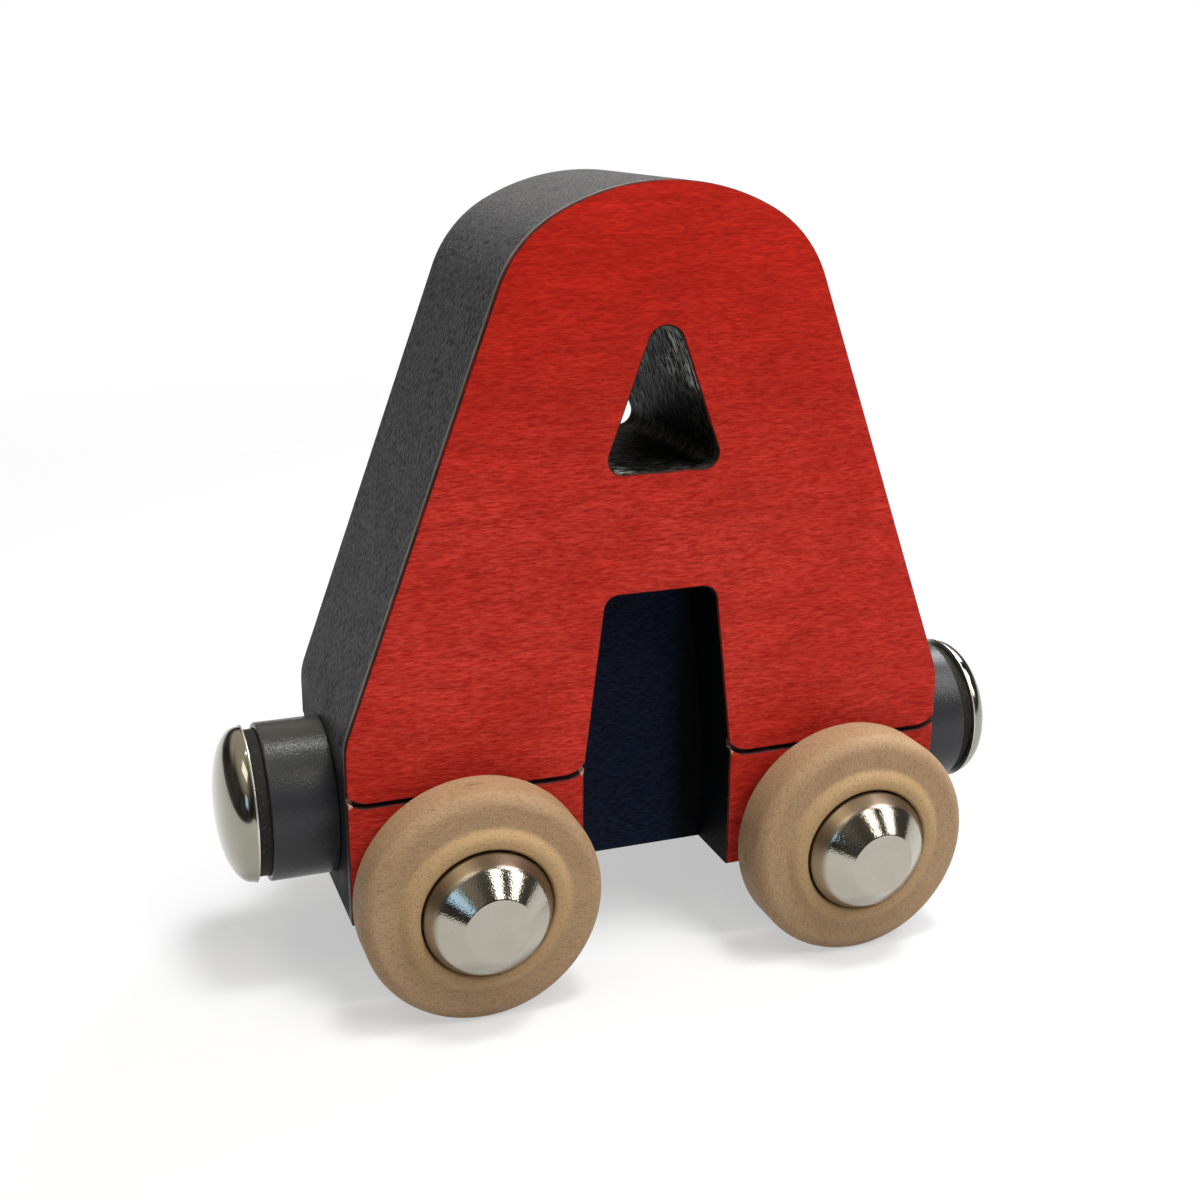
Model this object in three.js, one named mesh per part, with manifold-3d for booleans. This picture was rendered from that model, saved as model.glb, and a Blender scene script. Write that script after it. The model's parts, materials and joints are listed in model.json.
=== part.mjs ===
// A wooden letter train car: a letter-shaped block on two axles, with a magnetic coupler at each end.
// Millimetres, +Z up. X runs along the train, -Y is the front of the letter, and Z = 0 is the ground.
import * as THREE from 'three';
import { mergeVertices } from 'three/addons/utils/BufferGeometryUtils.js';
import Module from 'manifold-3d';

const wasm = await Module();
wasm.setup();

// Letter block. Heights are above its underside.
const BODY_THICKNESS = 19;
const BODY_LENGTH = 52;
const BODY_HEIGHT = 56.9;
const END_HEIGHT = 15.2; // upright end, up to the fold where the side starts to lean
const FOLD_RADIUS = 6;
const TOP_WIDTH = 24.5; // where the leaning sides would meet the crown's arc
const CROWN_RISE = 4.75;
const SHOULDER_RADIUS = 10;
const EDGE_EASE = 0.25;

// Pocket between the legs, cut into the front and the back.
const NOTCH_HEIGHT = 25.2;
const NOTCH_TOP_WIDTH = 9.4;
const NOTCH_FOOT_WIDTH = 13;
const NOTCH_CORNER_RADIUS = 1.25;
const POCKET_DEPTH = 5.85;

// Open counter of the letter, a triangle right through the block.
const COUNTER_FLOOR = 34.95;
const COUNTER_FLOOR_WIDTH = 10.2;
const COUNTER_PEAK = 14.2; // from its floor to where its sides would meet
const COUNTER_FOOT_RADIUS = 1.2;
const COUNTER_TOP_RADIUS = 1.5;

// Thin line cut across each leg, which turns up at both ends like the rounded foot of a letter.
const FOOT_LINE_HEIGHT = 10.2;
const FOOT_LINE_WIDTH = 0.45;
const FOOT_LINE_DEPTH = 0.6;
const FOOT_CORNER_RADIUS = 2.4;
const FOOT_CORNER_INSET = 1.7;
const FOOT_LINE_END_ANGLE = THREE.MathUtils.degToRad(20);

// Axles, wheels and hub caps. Wheel widths run outwards from the wheel's inner end.
const AXLE_SPACING = 33;
const AXLE_INSET = 2.55; // axle's middle above the block's underside
const AXLE_RADIUS = 1.2;
const WHEEL_RADIUS = 9.8;
const WHEEL_BOSS_RADIUS = 4.5;
const WHEEL_BOSS_HEIGHT = 1.1;
const WHEEL_RIM_WIDTH = 4.1;
const WHEEL_BACK_EASE = 0.35;
const WHEEL_FRONT_ROUND = 1.2;
const HUB_RING_RADIUS = 6.85;
const HUB_RING_HEIGHT = 0.55;
const HUB_RING_COVE = 0.35;
const HUB_RING_ROUND = 0.3;
const HUB_RECESS_RADIUS = 5.38;
const HUB_RECESS_DEPTH = 1.9;
const CAP_HEIGHT = 4.3;
const CAP_SKIRT_HEIGHT = 2.05;
const CAP_SKIRT_ROUND = 0.8;
const CAP_TOP_RADIUS = 2.65;
const CAP_TOP_ROUND = 0.15;
const CAP_WALL = 0.6;
const CAP_CAVITY_DEPTH = 1.4;
const CAP_SOCKET_DEPTH = 3;

// Couplers. Lengths run outwards from the end of the block.
const COUPLER_HEIGHT = 7.5; // coupler's middle above the block's underside
const SLEEVE_RADIUS = 6.55;
const SLEEVE_LENGTH = 5.4;
const SLEEVE_WALL = 0.45;
const SLEEVE_FLOOR = 0.8;
const SLEEVE_CHAMFER = 0.25;
const MAGNET_EDGE_SHOWN = 1;
const DOME_RADIUS = 6.5;
const DOME_HEIGHT = 2.7;
const DOME_WALL = 0.5;
const DOME_TIP_RADIUS = 1.2; // small flat that meets the next car
const NAIL_RADIUS = 0.9;
const NAIL_HEAD_RADIUS = 2;
const NAIL_HEAD_HEIGHT = 0.6;
const NAIL_POINT_LENGTH = 1.5;
const NAIL_HOLD = 7; // driven into the block

// Clearances.
const AXLE_CLEARANCE = 0.15; // axle in the block, on the radius
const WHEEL_CLEARANCE = 0.15; // wheel on the axle, on the radius
const WHEEL_SIDE_GAP = 0.4; // wheel's inner end to the block
const CAP_RUNNING_GAP = 0.26; // cap in the wheel's recess, on the radius
const CAP_FLOOR_GAP = 0.3; // cap to the recess's floor
const PRESS_GAP = 0.05; // pressed or driven pieces, on the radius
const SEAT_GAP = 0.05; // faces that rest on each other
const CUT_MARGIN = 1; // how far a cutter runs past the surface that it cuts

// Faceting.
const FINE_STEP = THREE.MathUtils.degToRad(5);
const CORNER_STEP = THREE.MathUtils.degToRad(18);
const ROUND_STEP = THREE.MathUtils.degToRad(45);
const WHEEL_FACETS = 36;
const COUPLER_FACETS = 28;
const SMALL_FACETS = 16;
const LONGEST_FILLET = 0.45; // share of an edge that one corner's rounding may take
const DOME_STEPS = 6;

// Worked out from the sizes above.
const RIDE_HEIGHT = WHEEL_RADIUS - AXLE_INSET;
const WHEEL_FACE = WHEEL_BOSS_HEIGHT + WHEEL_RIM_WIDTH;
const HUB_RING_TOP = WHEEL_FACE + HUB_RING_HEIGHT;
const RECESS_FLOOR = HUB_RING_TOP - HUB_RECESS_DEPTH;
const CAP_RADIUS = HUB_RECESS_RADIUS - CAP_RUNNING_GAP;
const CAP_BASE = BODY_THICKNESS / 2 + WHEEL_SIDE_GAP + RECESS_FLOOR + CAP_FLOOR_GAP;
const AXLE_END = CAP_BASE + CAP_SOCKET_DEPTH - SEAT_GAP;
const MAGNET_START = SEAT_GAP + SLEEVE_FLOOR + SEAT_GAP;
const MAGNET_LENGTH = SLEEVE_LENGTH + MAGNET_EDGE_SHOWN - MAGNET_START;
const NAIL_SEAT = SLEEVE_LENGTH + MAGNET_EDGE_SHOWN + SEAT_GAP;

const FINISHES = {
  redStain: { color: 0xb4281f, roughness: 0.55, metalness: 0 },
  bareMaple: { color: 0xc79f74, roughness: 0.6, metalness: 0 },
  nickel: { color: 0xd6d2c8, roughness: 0.18, metalness: 1 },
  steel: { color: 0xa9a9a6, roughness: 0.35, metalness: 1 },
  charcoalSleeve: { color: 0x3c3d42, roughness: 0.4, metalness: 0 },
  ferrite: { color: 0x1d1c1c, roughness: 0.7, metalness: 0 },
};

// Points of a closed outline with corners [x, y, radius]. A rounding is limited by the edges beside it.
function roundedOutline(corners, step = ROUND_STEP) {
  const points = [];
  corners.forEach(([x, y, radius = 0], index) => {
    const corner = new THREE.Vector2(x, y);
    const before = new THREE.Vector2(...corners.at(index - 1)).sub(corner);
    const after = new THREE.Vector2(...corners[(index + 1) % corners.length]).sub(corner);
    if (radius === 0) {
      points.push(corner);
      return;
    }
    const halfTurn = (Math.PI - before.angleTo(after)) / 2;
    const room = LONGEST_FILLET * Math.min(before.length(), after.length());
    const reach = Math.min(radius * Math.tan(halfTurn), room);
    const bend = reach / Math.tan(halfTurn);
    const start = before.clone().setLength(reach).add(corner);
    const middle = before.clone().normalize().add(after.clone().normalize());
    const centre = middle.setLength(Math.hypot(bend, reach)).add(corner);
    const way = Math.sign(after.cross(before));
    const steps = Math.ceil((2 * halfTurn) / step);
    for (let i = 0; i <= steps; i += 1) {
      points.push(start.clone().rotateAround(centre, (way * 2 * halfTurn * i) / steps));
    }
  });
  return points;
}

// Points of an arc about (x, y), from one angle to another, both ends included.
function arcPoints(x, y, radius, from, to) {
  const steps = Math.ceil(Math.abs(to - from) / FINE_STEP);
  return Array.from({ length: steps + 1 }, (_, i) => {
    const angle = THREE.MathUtils.lerp(from, to, i / steps);
    return new THREE.Vector2(x + radius * Math.cos(angle), y + radius * Math.sin(angle));
  });
}

// A shape drawn in X and Z, extruded along Y about the given middle.
function upright(shape, depth, middle, options = { bevelEnabled: false }) {
  const geometry = new THREE.ExtrudeGeometry(shape, { steps: 1, depth, ...options });
  geometry.translate(0, 0, -depth / 2);
  geometry.rotateX(Math.PI / 2);
  geometry.translate(0, middle, 0);
  return geometry;
}

// A ring turned about Y from a profile that closes on itself.
function turnedRing(profile, facets) {
  return new THREE.LatheGeometry([...profile, profile[0]], facets);
}

// A solid turned about Y from a profile that starts and ends on the axis.
function turnedSolid(profile, facets) {
  return new THREE.LatheGeometry(profile, facets);
}

function solidOf(geometry) {
  const bare = geometry.clone();
  bare.deleteAttribute('normal');
  bare.deleteAttribute('uv');
  const merged = mergeVertices(bare);
  const vertProperties = new Float32Array(merged.attributes.position.array);
  const triVerts = new Uint32Array(merged.index.array);
  return new wasm.Manifold(new wasm.Mesh({ numProp: 3, vertProperties, triVerts }));
}

function geometryOf(solid) {
  const { vertProperties, triVerts } = solid.getMesh();
  const geometry = new THREE.BufferGeometry();
  geometry.setAttribute('position', new THREE.BufferAttribute(vertProperties, 3));
  geometry.setIndex(new THREE.BufferAttribute(triVerts, 1));
  geometry.computeVertexNormals();
  return geometry;
}

// Outline of the letter: upright ends, leaning sides, round shoulders and a shallow crown.
function letterOutline() {
  const half = BODY_LENGTH / 2;
  const corner = new THREE.Vector2(TOP_WIDTH / 2, BODY_HEIGHT - CROWN_RISE);
  const lean = Math.atan2(half - corner.x, corner.y - END_HEIGHT);
  const outwards = new THREE.Vector2(Math.cos(lean), Math.sin(lean));
  const alongSide = new THREE.Vector2(-outwards.y, outwards.x);

  const crownRadius = (corner.x ** 2 + CROWN_RISE ** 2) / (2 * CROWN_RISE);
  const crown = new THREE.Vector2(0, BODY_HEIGHT - crownRadius);
  const shoulderDepth = outwards.dot(corner.clone().sub(crown)) - SHOULDER_RADIUS;
  const shoulderReach = Math.sqrt((crownRadius - SHOULDER_RADIUS) ** 2 - shoulderDepth ** 2);
  const shoulder = crown.clone().addScaledVector(outwards, shoulderDepth);
  shoulder.addScaledVector(alongSide, shoulderReach);
  const crownStart = shoulder.clone().sub(crown).angle();

  const foldX = half - FOLD_RADIUS;
  const foldZ = END_HEIGHT - FOLD_RADIUS * Math.tan(lean / 2);
  const rightSide = [
    new THREE.Vector2(half, 0),
    ...arcPoints(foldX, foldZ, FOLD_RADIUS, 0, lean),
    ...arcPoints(shoulder.x, shoulder.y, SHOULDER_RADIUS, lean, crownStart),
  ];
  const leftSide = rightSide.map((point) => new THREE.Vector2(-point.x, point.y)).reverse();
  const top = arcPoints(crown.x, crown.y, crownRadius, crownStart, Math.PI - crownStart).slice(1, -1);
  return [...rightSide, ...top, ...leftSide];
}

function counterOutline() {
  const half = COUNTER_FLOOR_WIDTH / 2;
  return roundedOutline([
    [-half, COUNTER_FLOOR, COUNTER_FOOT_RADIUS],
    [half, COUNTER_FLOOR, COUNTER_FOOT_RADIUS],
    [0, COUNTER_FLOOR + COUNTER_PEAK, COUNTER_TOP_RADIUS],
  ], CORNER_STEP);
}

// Cutter for the pocket between the legs. Face -1 is the front of the letter, 1 is the back.
function pocketCutter(face) {
  const top = NOTCH_TOP_WIDTH / 2;
  const foot = NOTCH_FOOT_WIDTH / 2;
  const outline = roundedOutline([
    [-foot, -CUT_MARGIN],
    [foot, -CUT_MARGIN],
    [foot, FOOT_LINE_HEIGHT],
    [top, NOTCH_HEIGHT, NOTCH_CORNER_RADIUS],
    [-top, NOTCH_HEIGHT, NOTCH_CORNER_RADIUS],
    [-foot, FOOT_LINE_HEIGHT],
  ], CORNER_STEP);
  return faceCutter(outline, POCKET_DEPTH, face);
}

// Cutter for the foot line of the right leg.
function footLineCutter(face) {
  const inner = NOTCH_FOOT_WIDTH / 2 + FOOT_CORNER_INSET;
  const outer = BODY_LENGTH / 2 - FOOT_CORNER_INSET;
  const middle = FOOT_LINE_HEIGHT + FOOT_CORNER_RADIUS;
  const below = FOOT_CORNER_RADIUS + FOOT_LINE_WIDTH / 2;
  const above = FOOT_CORNER_RADIUS - FOOT_LINE_WIDTH / 2;
  const innerEnd = Math.PI + FOOT_LINE_END_ANGLE;
  const outerEnd = 2 * Math.PI - FOOT_LINE_END_ANGLE;
  const down = 1.5 * Math.PI;
  const outline = [
    ...arcPoints(inner, middle, below, innerEnd, down),
    ...arcPoints(outer, middle, below, down, outerEnd),
    ...arcPoints(outer, middle, above, outerEnd, down),
    ...arcPoints(inner, middle, above, down, innerEnd),
  ];
  return faceCutter(outline, FOOT_LINE_DEPTH, face);
}

// Extrudes an outline from outside one face of the block to a depth below it.
function faceCutter(outline, depth, face) {
  const middle = (face * (BODY_THICKNESS - depth + CUT_MARGIN)) / 2;
  return upright(new THREE.Shape(outline), depth + CUT_MARGIN, middle);
}

function letterBlock() {
  const shape = new THREE.Shape(letterOutline());
  const eased = {
    bevelEnabled: true,
    bevelThickness: EDGE_EASE,
    bevelSize: EDGE_EASE,
    bevelOffset: -EDGE_EASE,
    bevelSegments: 1,
  };
  let block = solidOf(upright(shape, BODY_THICKNESS - 2 * EDGE_EASE, 0, eased));
  const throughLength = BODY_THICKNESS + 2 * CUT_MARGIN;
  block = block.subtract(solidOf(upright(new THREE.Shape(counterOutline()), throughLength, 0)));

  for (const face of [-1, 1]) {
    const rightLine = footLineCutter(face);
    const leftLine = footLineCutter(-face).rotateZ(Math.PI);
    for (const cutter of [pocketCutter(face), rightLine, leftLine]) {
      block = block.subtract(solidOf(cutter));
    }
  }

  for (const side of [-1, 1]) {
    const boreRadius = AXLE_RADIUS + AXLE_CLEARANCE;
    const bore = new THREE.CylinderGeometry(boreRadius, boreRadius, throughLength, SMALL_FACETS);
    bore.translate((side * AXLE_SPACING) / 2, 0, AXLE_INSET);
    block = block.subtract(solidOf(bore));

    const holeRadius = NAIL_RADIUS + PRESS_GAP;
    const holeLength = NAIL_HOLD + SEAT_GAP + CUT_MARGIN;
    const hole = new THREE.CylinderGeometry(holeRadius, holeRadius, holeLength, SMALL_FACETS);
    hole.rotateZ(Math.PI / 2);
    hole.translate(side * (BODY_LENGTH / 2 + CUT_MARGIN - holeLength / 2), 0, COUPLER_HEIGHT);
    block = block.subtract(solidOf(hole));
  }
  return geometryOf(block);
}

function wheel() {
  const bore = AXLE_RADIUS + WHEEL_CLEARANCE;
  const profile = roundedOutline([
    [bore, 0],
    [WHEEL_BOSS_RADIUS, 0],
    [WHEEL_BOSS_RADIUS, WHEEL_BOSS_HEIGHT],
    [WHEEL_RADIUS, WHEEL_BOSS_HEIGHT, WHEEL_BACK_EASE],
    [WHEEL_RADIUS, WHEEL_FACE, WHEEL_FRONT_ROUND],
    [HUB_RING_RADIUS, WHEEL_FACE, HUB_RING_COVE],
    [HUB_RING_RADIUS, HUB_RING_TOP, HUB_RING_ROUND],
    [HUB_RECESS_RADIUS, HUB_RING_TOP],
    [HUB_RECESS_RADIUS, RECESS_FLOOR],
    [bore, RECESS_FLOOR],
  ]);
  return turnedRing(profile, WHEEL_FACETS);
}

// A pressed cap: a conical shell with a socket for the axle inside its skirt.
function hubCap() {
  const socket = AXLE_RADIUS + PRESS_GAP;
  const profile = roundedOutline([
    [0, CAP_SOCKET_DEPTH],
    [socket, CAP_SOCKET_DEPTH],
    [socket, 0],
    [socket + CAP_WALL, 0],
    [socket + CAP_WALL, CAP_CAVITY_DEPTH],
    [CAP_RADIUS - CAP_WALL, CAP_CAVITY_DEPTH],
    [CAP_RADIUS - CAP_WALL, 0],
    [CAP_RADIUS, 0],
    [CAP_RADIUS, CAP_SKIRT_HEIGHT, CAP_SKIRT_ROUND],
    [CAP_TOP_RADIUS, CAP_HEIGHT, CAP_TOP_ROUND],
    [0, CAP_HEIGHT],
  ]);
  return turnedSolid(profile, COUPLER_FACETS);
}

function axle() {
  return new THREE.CylinderGeometry(AXLE_RADIUS, AXLE_RADIUS, 2 * AXLE_END, SMALL_FACETS);
}

function couplerSleeve() {
  const nailHole = NAIL_RADIUS + PRESS_GAP;
  const bore = SLEEVE_RADIUS - SLEEVE_WALL;
  const profile = roundedOutline([
    [nailHole, 0],
    [SLEEVE_RADIUS, 0],
    [SLEEVE_RADIUS, SLEEVE_LENGTH - SEAT_GAP, SLEEVE_CHAMFER],
    [bore, SLEEVE_LENGTH - SEAT_GAP],
    [bore, SLEEVE_FLOOR],
    [nailHole, SLEEVE_FLOOR],
  ]);
  return turnedRing(profile, COUPLER_FACETS);
}

function couplerMagnet() {
  const nailHole = NAIL_RADIUS + PRESS_GAP;
  const radius = SLEEVE_RADIUS - SLEEVE_WALL - PRESS_GAP;
  const profile = roundedOutline([
    [nailHole, 0],
    [radius, 0],
    [radius, MAGNET_LENGTH],
    [nailHole, MAGNET_LENGTH],
  ]);
  return turnedRing(profile, COUPLER_FACETS);
}

// The underside of the nail's head is at Y = 0.
function couplerNail() {
  const shank = NAIL_SEAT + NAIL_HOLD;
  const profile = roundedOutline([
    [0, -shank],
    [NAIL_RADIUS, NAIL_POINT_LENGTH - shank],
    [NAIL_RADIUS, 0],
    [NAIL_HEAD_RADIUS, 0],
    [NAIL_HEAD_RADIUS, NAIL_HEAD_HEIGHT],
    [0, NAIL_HEAD_HEIGHT],
  ]);
  return turnedSolid(profile, SMALL_FACETS);
}

// A drawn dome: half an ellipse of even wall, cut off to a small flat at its tip.
function couplerDome() {
  const ellipse = (radius, height, end) => Array.from({ length: DOME_STEPS + 1 }, (_, i) => {
    const angle = (end * i) / DOME_STEPS;
    return new THREE.Vector2(radius * Math.cos(angle), height * Math.sin(angle));
  });
  const flatAngle = Math.acos(DOME_TIP_RADIUS / DOME_RADIUS);
  const outside = ellipse(DOME_RADIUS, DOME_HEIGHT / Math.sin(flatAngle), flatAngle);
  const inside = ellipse(DOME_RADIUS - DOME_WALL, DOME_HEIGHT - DOME_WALL, Math.PI / 2);
  inside.at(-1).x = 0;
  return turnedSolid([...inside.reverse(), ...outside, new THREE.Vector2(0, DOME_HEIGHT)], COUPLER_FACETS);
}

function piece(name, geometry, finish, parent) {
  const mesh = new THREE.Mesh(geometry, new THREE.MeshStandardMaterial(finish));
  mesh.name = name;
  parent.add(mesh);
  return mesh;
}

const SIDES = [['left', -1], ['right', 1]];
const FACES = [['front', -1], ['back', 1]];

const car = new THREE.Group();
const block = piece('letter_body', letterBlock(), FINISHES.redStain, car);
block.position.z = RIDE_HEIGHT;

for (const [sideName, side] of SIDES) {
  const wheelset = new THREE.Group();
  wheelset.position.set((side * AXLE_SPACING) / 2, 0, WHEEL_RADIUS);
  car.add(wheelset);
  piece(`axle_${sideName}`, axle(), FINISHES.steel, wheelset);

  for (const [faceName, face] of FACES) {
    const end = new THREE.Group();
    end.rotation.z = face < 0 ? Math.PI : 0;
    wheelset.add(end);
    const tyre = piece(`wheel_${faceName}_${sideName}`, wheel(), FINISHES.bareMaple, end);
    tyre.position.y = BODY_THICKNESS / 2 + WHEEL_SIDE_GAP;
    const cap = piece(`hub_cap_${faceName}_${sideName}`, hubCap(), FINISHES.nickel, end);
    cap.position.y = CAP_BASE;
  }
}

for (const [sideName, side] of SIDES) {
  const coupler = new THREE.Group();
  coupler.position.set((side * BODY_LENGTH) / 2, 0, RIDE_HEIGHT + COUPLER_HEIGHT);
  coupler.rotation.z = (-side * Math.PI) / 2;
  car.add(coupler);
  const sleeve = piece(`coupler_sleeve_${sideName}`, couplerSleeve(), FINISHES.charcoalSleeve, coupler);
  sleeve.position.y = SEAT_GAP;
  const magnet = piece(`coupler_magnet_${sideName}`, couplerMagnet(), FINISHES.ferrite, coupler);
  magnet.position.y = MAGNET_START;
  const nail = piece(`coupler_nail_${sideName}`, couplerNail(), FINISHES.steel, coupler);
  nail.position.y = NAIL_SEAT;
  const dome = piece(`coupler_dome_${sideName}`, couplerDome(), FINISHES.nickel, coupler);
  dome.position.y = NAIL_SEAT;
}

export default car;
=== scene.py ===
"""Finished surfaces of a wooden letter train car, built on its fixed frame.

Metres, +Z up, -Y is the front.
"""

import json
import math

import bmesh
import bpy
from mathutils import Matrix, Vector


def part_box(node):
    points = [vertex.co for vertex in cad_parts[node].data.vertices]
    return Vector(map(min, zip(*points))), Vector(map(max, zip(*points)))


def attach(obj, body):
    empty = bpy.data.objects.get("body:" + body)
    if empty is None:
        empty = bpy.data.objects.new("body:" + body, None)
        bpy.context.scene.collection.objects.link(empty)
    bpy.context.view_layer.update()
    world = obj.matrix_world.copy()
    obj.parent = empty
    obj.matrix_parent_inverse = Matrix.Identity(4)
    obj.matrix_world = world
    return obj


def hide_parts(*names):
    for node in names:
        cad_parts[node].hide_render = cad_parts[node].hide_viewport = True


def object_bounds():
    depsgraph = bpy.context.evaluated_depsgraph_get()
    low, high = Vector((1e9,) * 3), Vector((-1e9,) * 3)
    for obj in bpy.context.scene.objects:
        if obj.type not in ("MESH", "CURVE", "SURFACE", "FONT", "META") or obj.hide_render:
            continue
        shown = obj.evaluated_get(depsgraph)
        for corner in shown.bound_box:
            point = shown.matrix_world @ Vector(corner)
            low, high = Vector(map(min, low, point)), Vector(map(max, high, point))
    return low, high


bl_info = {
    "name": "Letter Train Car",
    "version": (1, 0, 0),
    "blender": (4, 5, 0),
    "location": "3D View > Sidebar > Letter Car",
    "description": "Builds the finished surfaces of a wooden letter train car on its frame",
    "category": "Add Mesh",
}

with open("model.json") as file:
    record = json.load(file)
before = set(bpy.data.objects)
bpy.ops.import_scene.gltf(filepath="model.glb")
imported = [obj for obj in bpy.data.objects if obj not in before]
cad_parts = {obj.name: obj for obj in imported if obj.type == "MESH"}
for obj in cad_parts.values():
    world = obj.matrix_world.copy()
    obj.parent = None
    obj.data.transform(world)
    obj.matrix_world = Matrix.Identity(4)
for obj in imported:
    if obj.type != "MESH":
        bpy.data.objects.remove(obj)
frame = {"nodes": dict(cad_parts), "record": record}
CAD_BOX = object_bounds()
BODIES = frame["record"]["behaviour"]["bodies"]

MM = 0.001
SIDES = (("left", -1), ("right", 1))
FACES = (("front", -1), ("back", 1))
WHEEL_PLACES = [(f"{face_name}_{side_name}", face) for face_name, face in FACES for side_name, _ in SIDES]

# Faceting and small working values.
FINE_STEP = math.radians(2)
CORNER_STEP = math.radians(9)
CAP_STEP = math.radians(4)
TURNED_FACETS = 144
BORE_FACETS = 48
EASE_STEPS = 3
DOME_STEPS = 40
LONGEST_FILLET = 0.45
CUT_MARGIN = 1 * MM
SMOOTH_ANGLE = math.radians(28)
TINY = 1e-7

# Small roundings, clearances and turns of the shapes.
FOOT_LINE_EASE = 0.05 * MM
FOOT_LINE_TURN = math.radians(70)
BOSS_EASE = 0.2 * MM
AXLE_CLEARANCE = 0.05 * MM
SLEEVE_EDGE_EASE = 0.08 * MM

# Slots of a cutter's two finishes.
WALL, RIM = 0, 1

# Vectors that leave one direction out of a position.
WITHOUT_X = (0, 1, 1)
WITHOUT_Y = (1, 0, 1)

# Bare wood at the foot lines: its place, the size of a spot and the share of it that is quite bare.
BARE_LIFT = 0.28 * MM
BARE_INSET = 0.08 * MM
BARE_END_SIZE = 0.45 * MM
BARE_POCKET_SIZE = 0.34 * MM
BARE_CORE = 0.55

# Painted shade round a coupler, where it shades the block's end face: its spread to front and back, its soft
# edge and its fade below the fold.
COUPLER_SHADE_SPREAD = 3.5 * MM
COUPLER_SHADE_OUTER = 2.4 * MM
COUPLER_SHADE_INNER = 0.9 * MM
COUPLER_SHADE_FADE = 4 * MM

# Where other finishes change over the block.
# Top band of the faces, above which the red's painted haze fades out.
HAZE_TOP_BAND = 4 * MM
WEAR_BELOW_FOLD = 2 * MM
WEAR_ABOVE_FOLD = 4 * MM
# Painted shade in the pocket: where it starts beside the right wall and how far past it it reaches.
POCKET_SHADE_BESIDE_WALL = 1.6 * MM
POCKET_SHADE_PAST_WALL = 0.4 * MM
# Slant of the mask that keeps the counter's painted highlights on its lit side.
COUNTER_LIGHT_SLANT = 2.7

# Where finishes change over the turned pieces, from their axis or from their inner end.
HUB_OUTER = 7.3 * MM
HUB_INNER = 6.7 * MM
# Brown band round a cap's edge: where it starts, a start past every dome, its width and its added roughness.
CAP_BROWN_BAND = 4.35 * MM
NO_BROWN_BAND = 20 * MM
BROWN_BAND_WIDTH = 0.5 * MM
BROWN_BAND_ROUGHNESS = 0.28
# Where the rim's painted highlight starts and ends, and how rough it is.
RIM_START = 0.10 * MM
RIM_END = 0.16 * MM
RIM_ROUGHNESS = 0.3
NICKEL_GRIT = 7400
SLEEVE_GRIT = 6000

# Noise has its mean here, and the drift of a grain is this much slower than the grain.
NOISE_MEAN = 0.5
DRIFT_SCALE = (0.11, 0.11, 0.16)

BLOCK_LOW, BLOCK_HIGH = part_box("letter_body")
WHEEL_LOW, WHEEL_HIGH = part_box("wheel_back_left")
CAP_LOW, CAP_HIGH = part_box("hub_cap_back_left")
SLEEVE_LOW, SLEEVE_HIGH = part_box("coupler_sleeve_right")
MAGNET_LOW, MAGNET_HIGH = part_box("coupler_magnet_right")
DOME_LOW, DOME_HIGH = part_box("coupler_dome_right")
AXLE_LOW, AXLE_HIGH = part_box("axle_left")
BLOCK_HALF = (BLOCK_HIGH.x - BLOCK_LOW.x) / 2


def middle(low, high):
    return (low + high) / 2


def size_of(name, description, default):
    return bpy.props.FloatProperty(
        name=name, description=description, default=default, min=0.0, unit="LENGTH", precision=5
    )


def colour_of(name, description, default):
    return bpy.props.FloatVectorProperty(
        name=name, description=description, default=default, subtype="COLOR", size=3, min=0.0, max=1.0
    )


class LetterBlockSettings(bpy.types.PropertyGroup):
    """Sizes of the letter block. Heights are above its underside."""

    end_height: size_of("End height", "Upright end, up to the fold", 15.2 * MM)
    fold_radius: size_of("Fold radius", "Rounding where the side starts to lean", 6 * MM)
    top_width: size_of("Top width", "Where the leaning sides would meet the crown", 24.5 * MM)
    crown_rise: size_of("Crown rise", "Height of the crown's arc", 4.75 * MM)
    shoulder_radius: size_of("Shoulder radius", "Rounding between side and crown", 10 * MM)
    edge_ease: size_of("Edge ease", "Rounding of the outer edges", 0.12 * MM)
    edge_line_width: size_of("Edge line width", "Dark line beside the edge, on the sides", 0.5 * MM)
    edge_worn_width: size_of("Worn edge width", "Rubbed line beside the dark one", 0.42 * MM)
    mouth_ease: size_of("Mouth ease", "Easing round the pocket and the counter", 0.12 * MM)
    notch_height: size_of("Notch height", "Top of the pocket between the legs", 25.2 * MM)
    notch_top_width: size_of("Notch top width", "Pocket's width at its top", 9.4 * MM)
    notch_foot_width: size_of("Notch foot width", "Pocket's width at the foot line", 13 * MM)
    notch_corner: size_of("Notch corner", "Rounding of the pocket's top corners", 1.25 * MM)
    pocket_depth: size_of("Pocket depth", "How far the pocket is cut into a face", 5.85 * MM)
    counter_floor: size_of("Counter floor", "Lowest edge of the open triangle", 34.95 * MM)
    counter_width: size_of("Counter width", "Triangle's width at its floor", 10.2 * MM)
    counter_peak: size_of("Counter peak", "From its floor to where its sides would meet", 14.2 * MM)
    counter_foot_radius: size_of("Counter foot radius", "Rounding of its lower corners", 1.2 * MM)
    counter_top_radius: size_of("Counter top radius", "Rounding of its top corner", 1.5 * MM)
    counter_back_ease: size_of("Counter back ease", "Easing of the open triangle on the back face", 0.4 * MM)
    foot_line_height: size_of("Foot line height", "Thin line across each leg", 10.2 * MM)
    foot_line_width: size_of("Foot line width", "Width of that line", 0.42 * MM)
    foot_line_depth: size_of("Foot line depth", "Depth of that line", 0.6 * MM)
    foot_corner_radius: size_of("Foot corner radius", "How round the line turns up at its ends", 2.4 * MM)
    foot_corner_inset: size_of("Foot corner inset", "Where the turn starts, from the leg's edge", 1.7 * MM)


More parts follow.
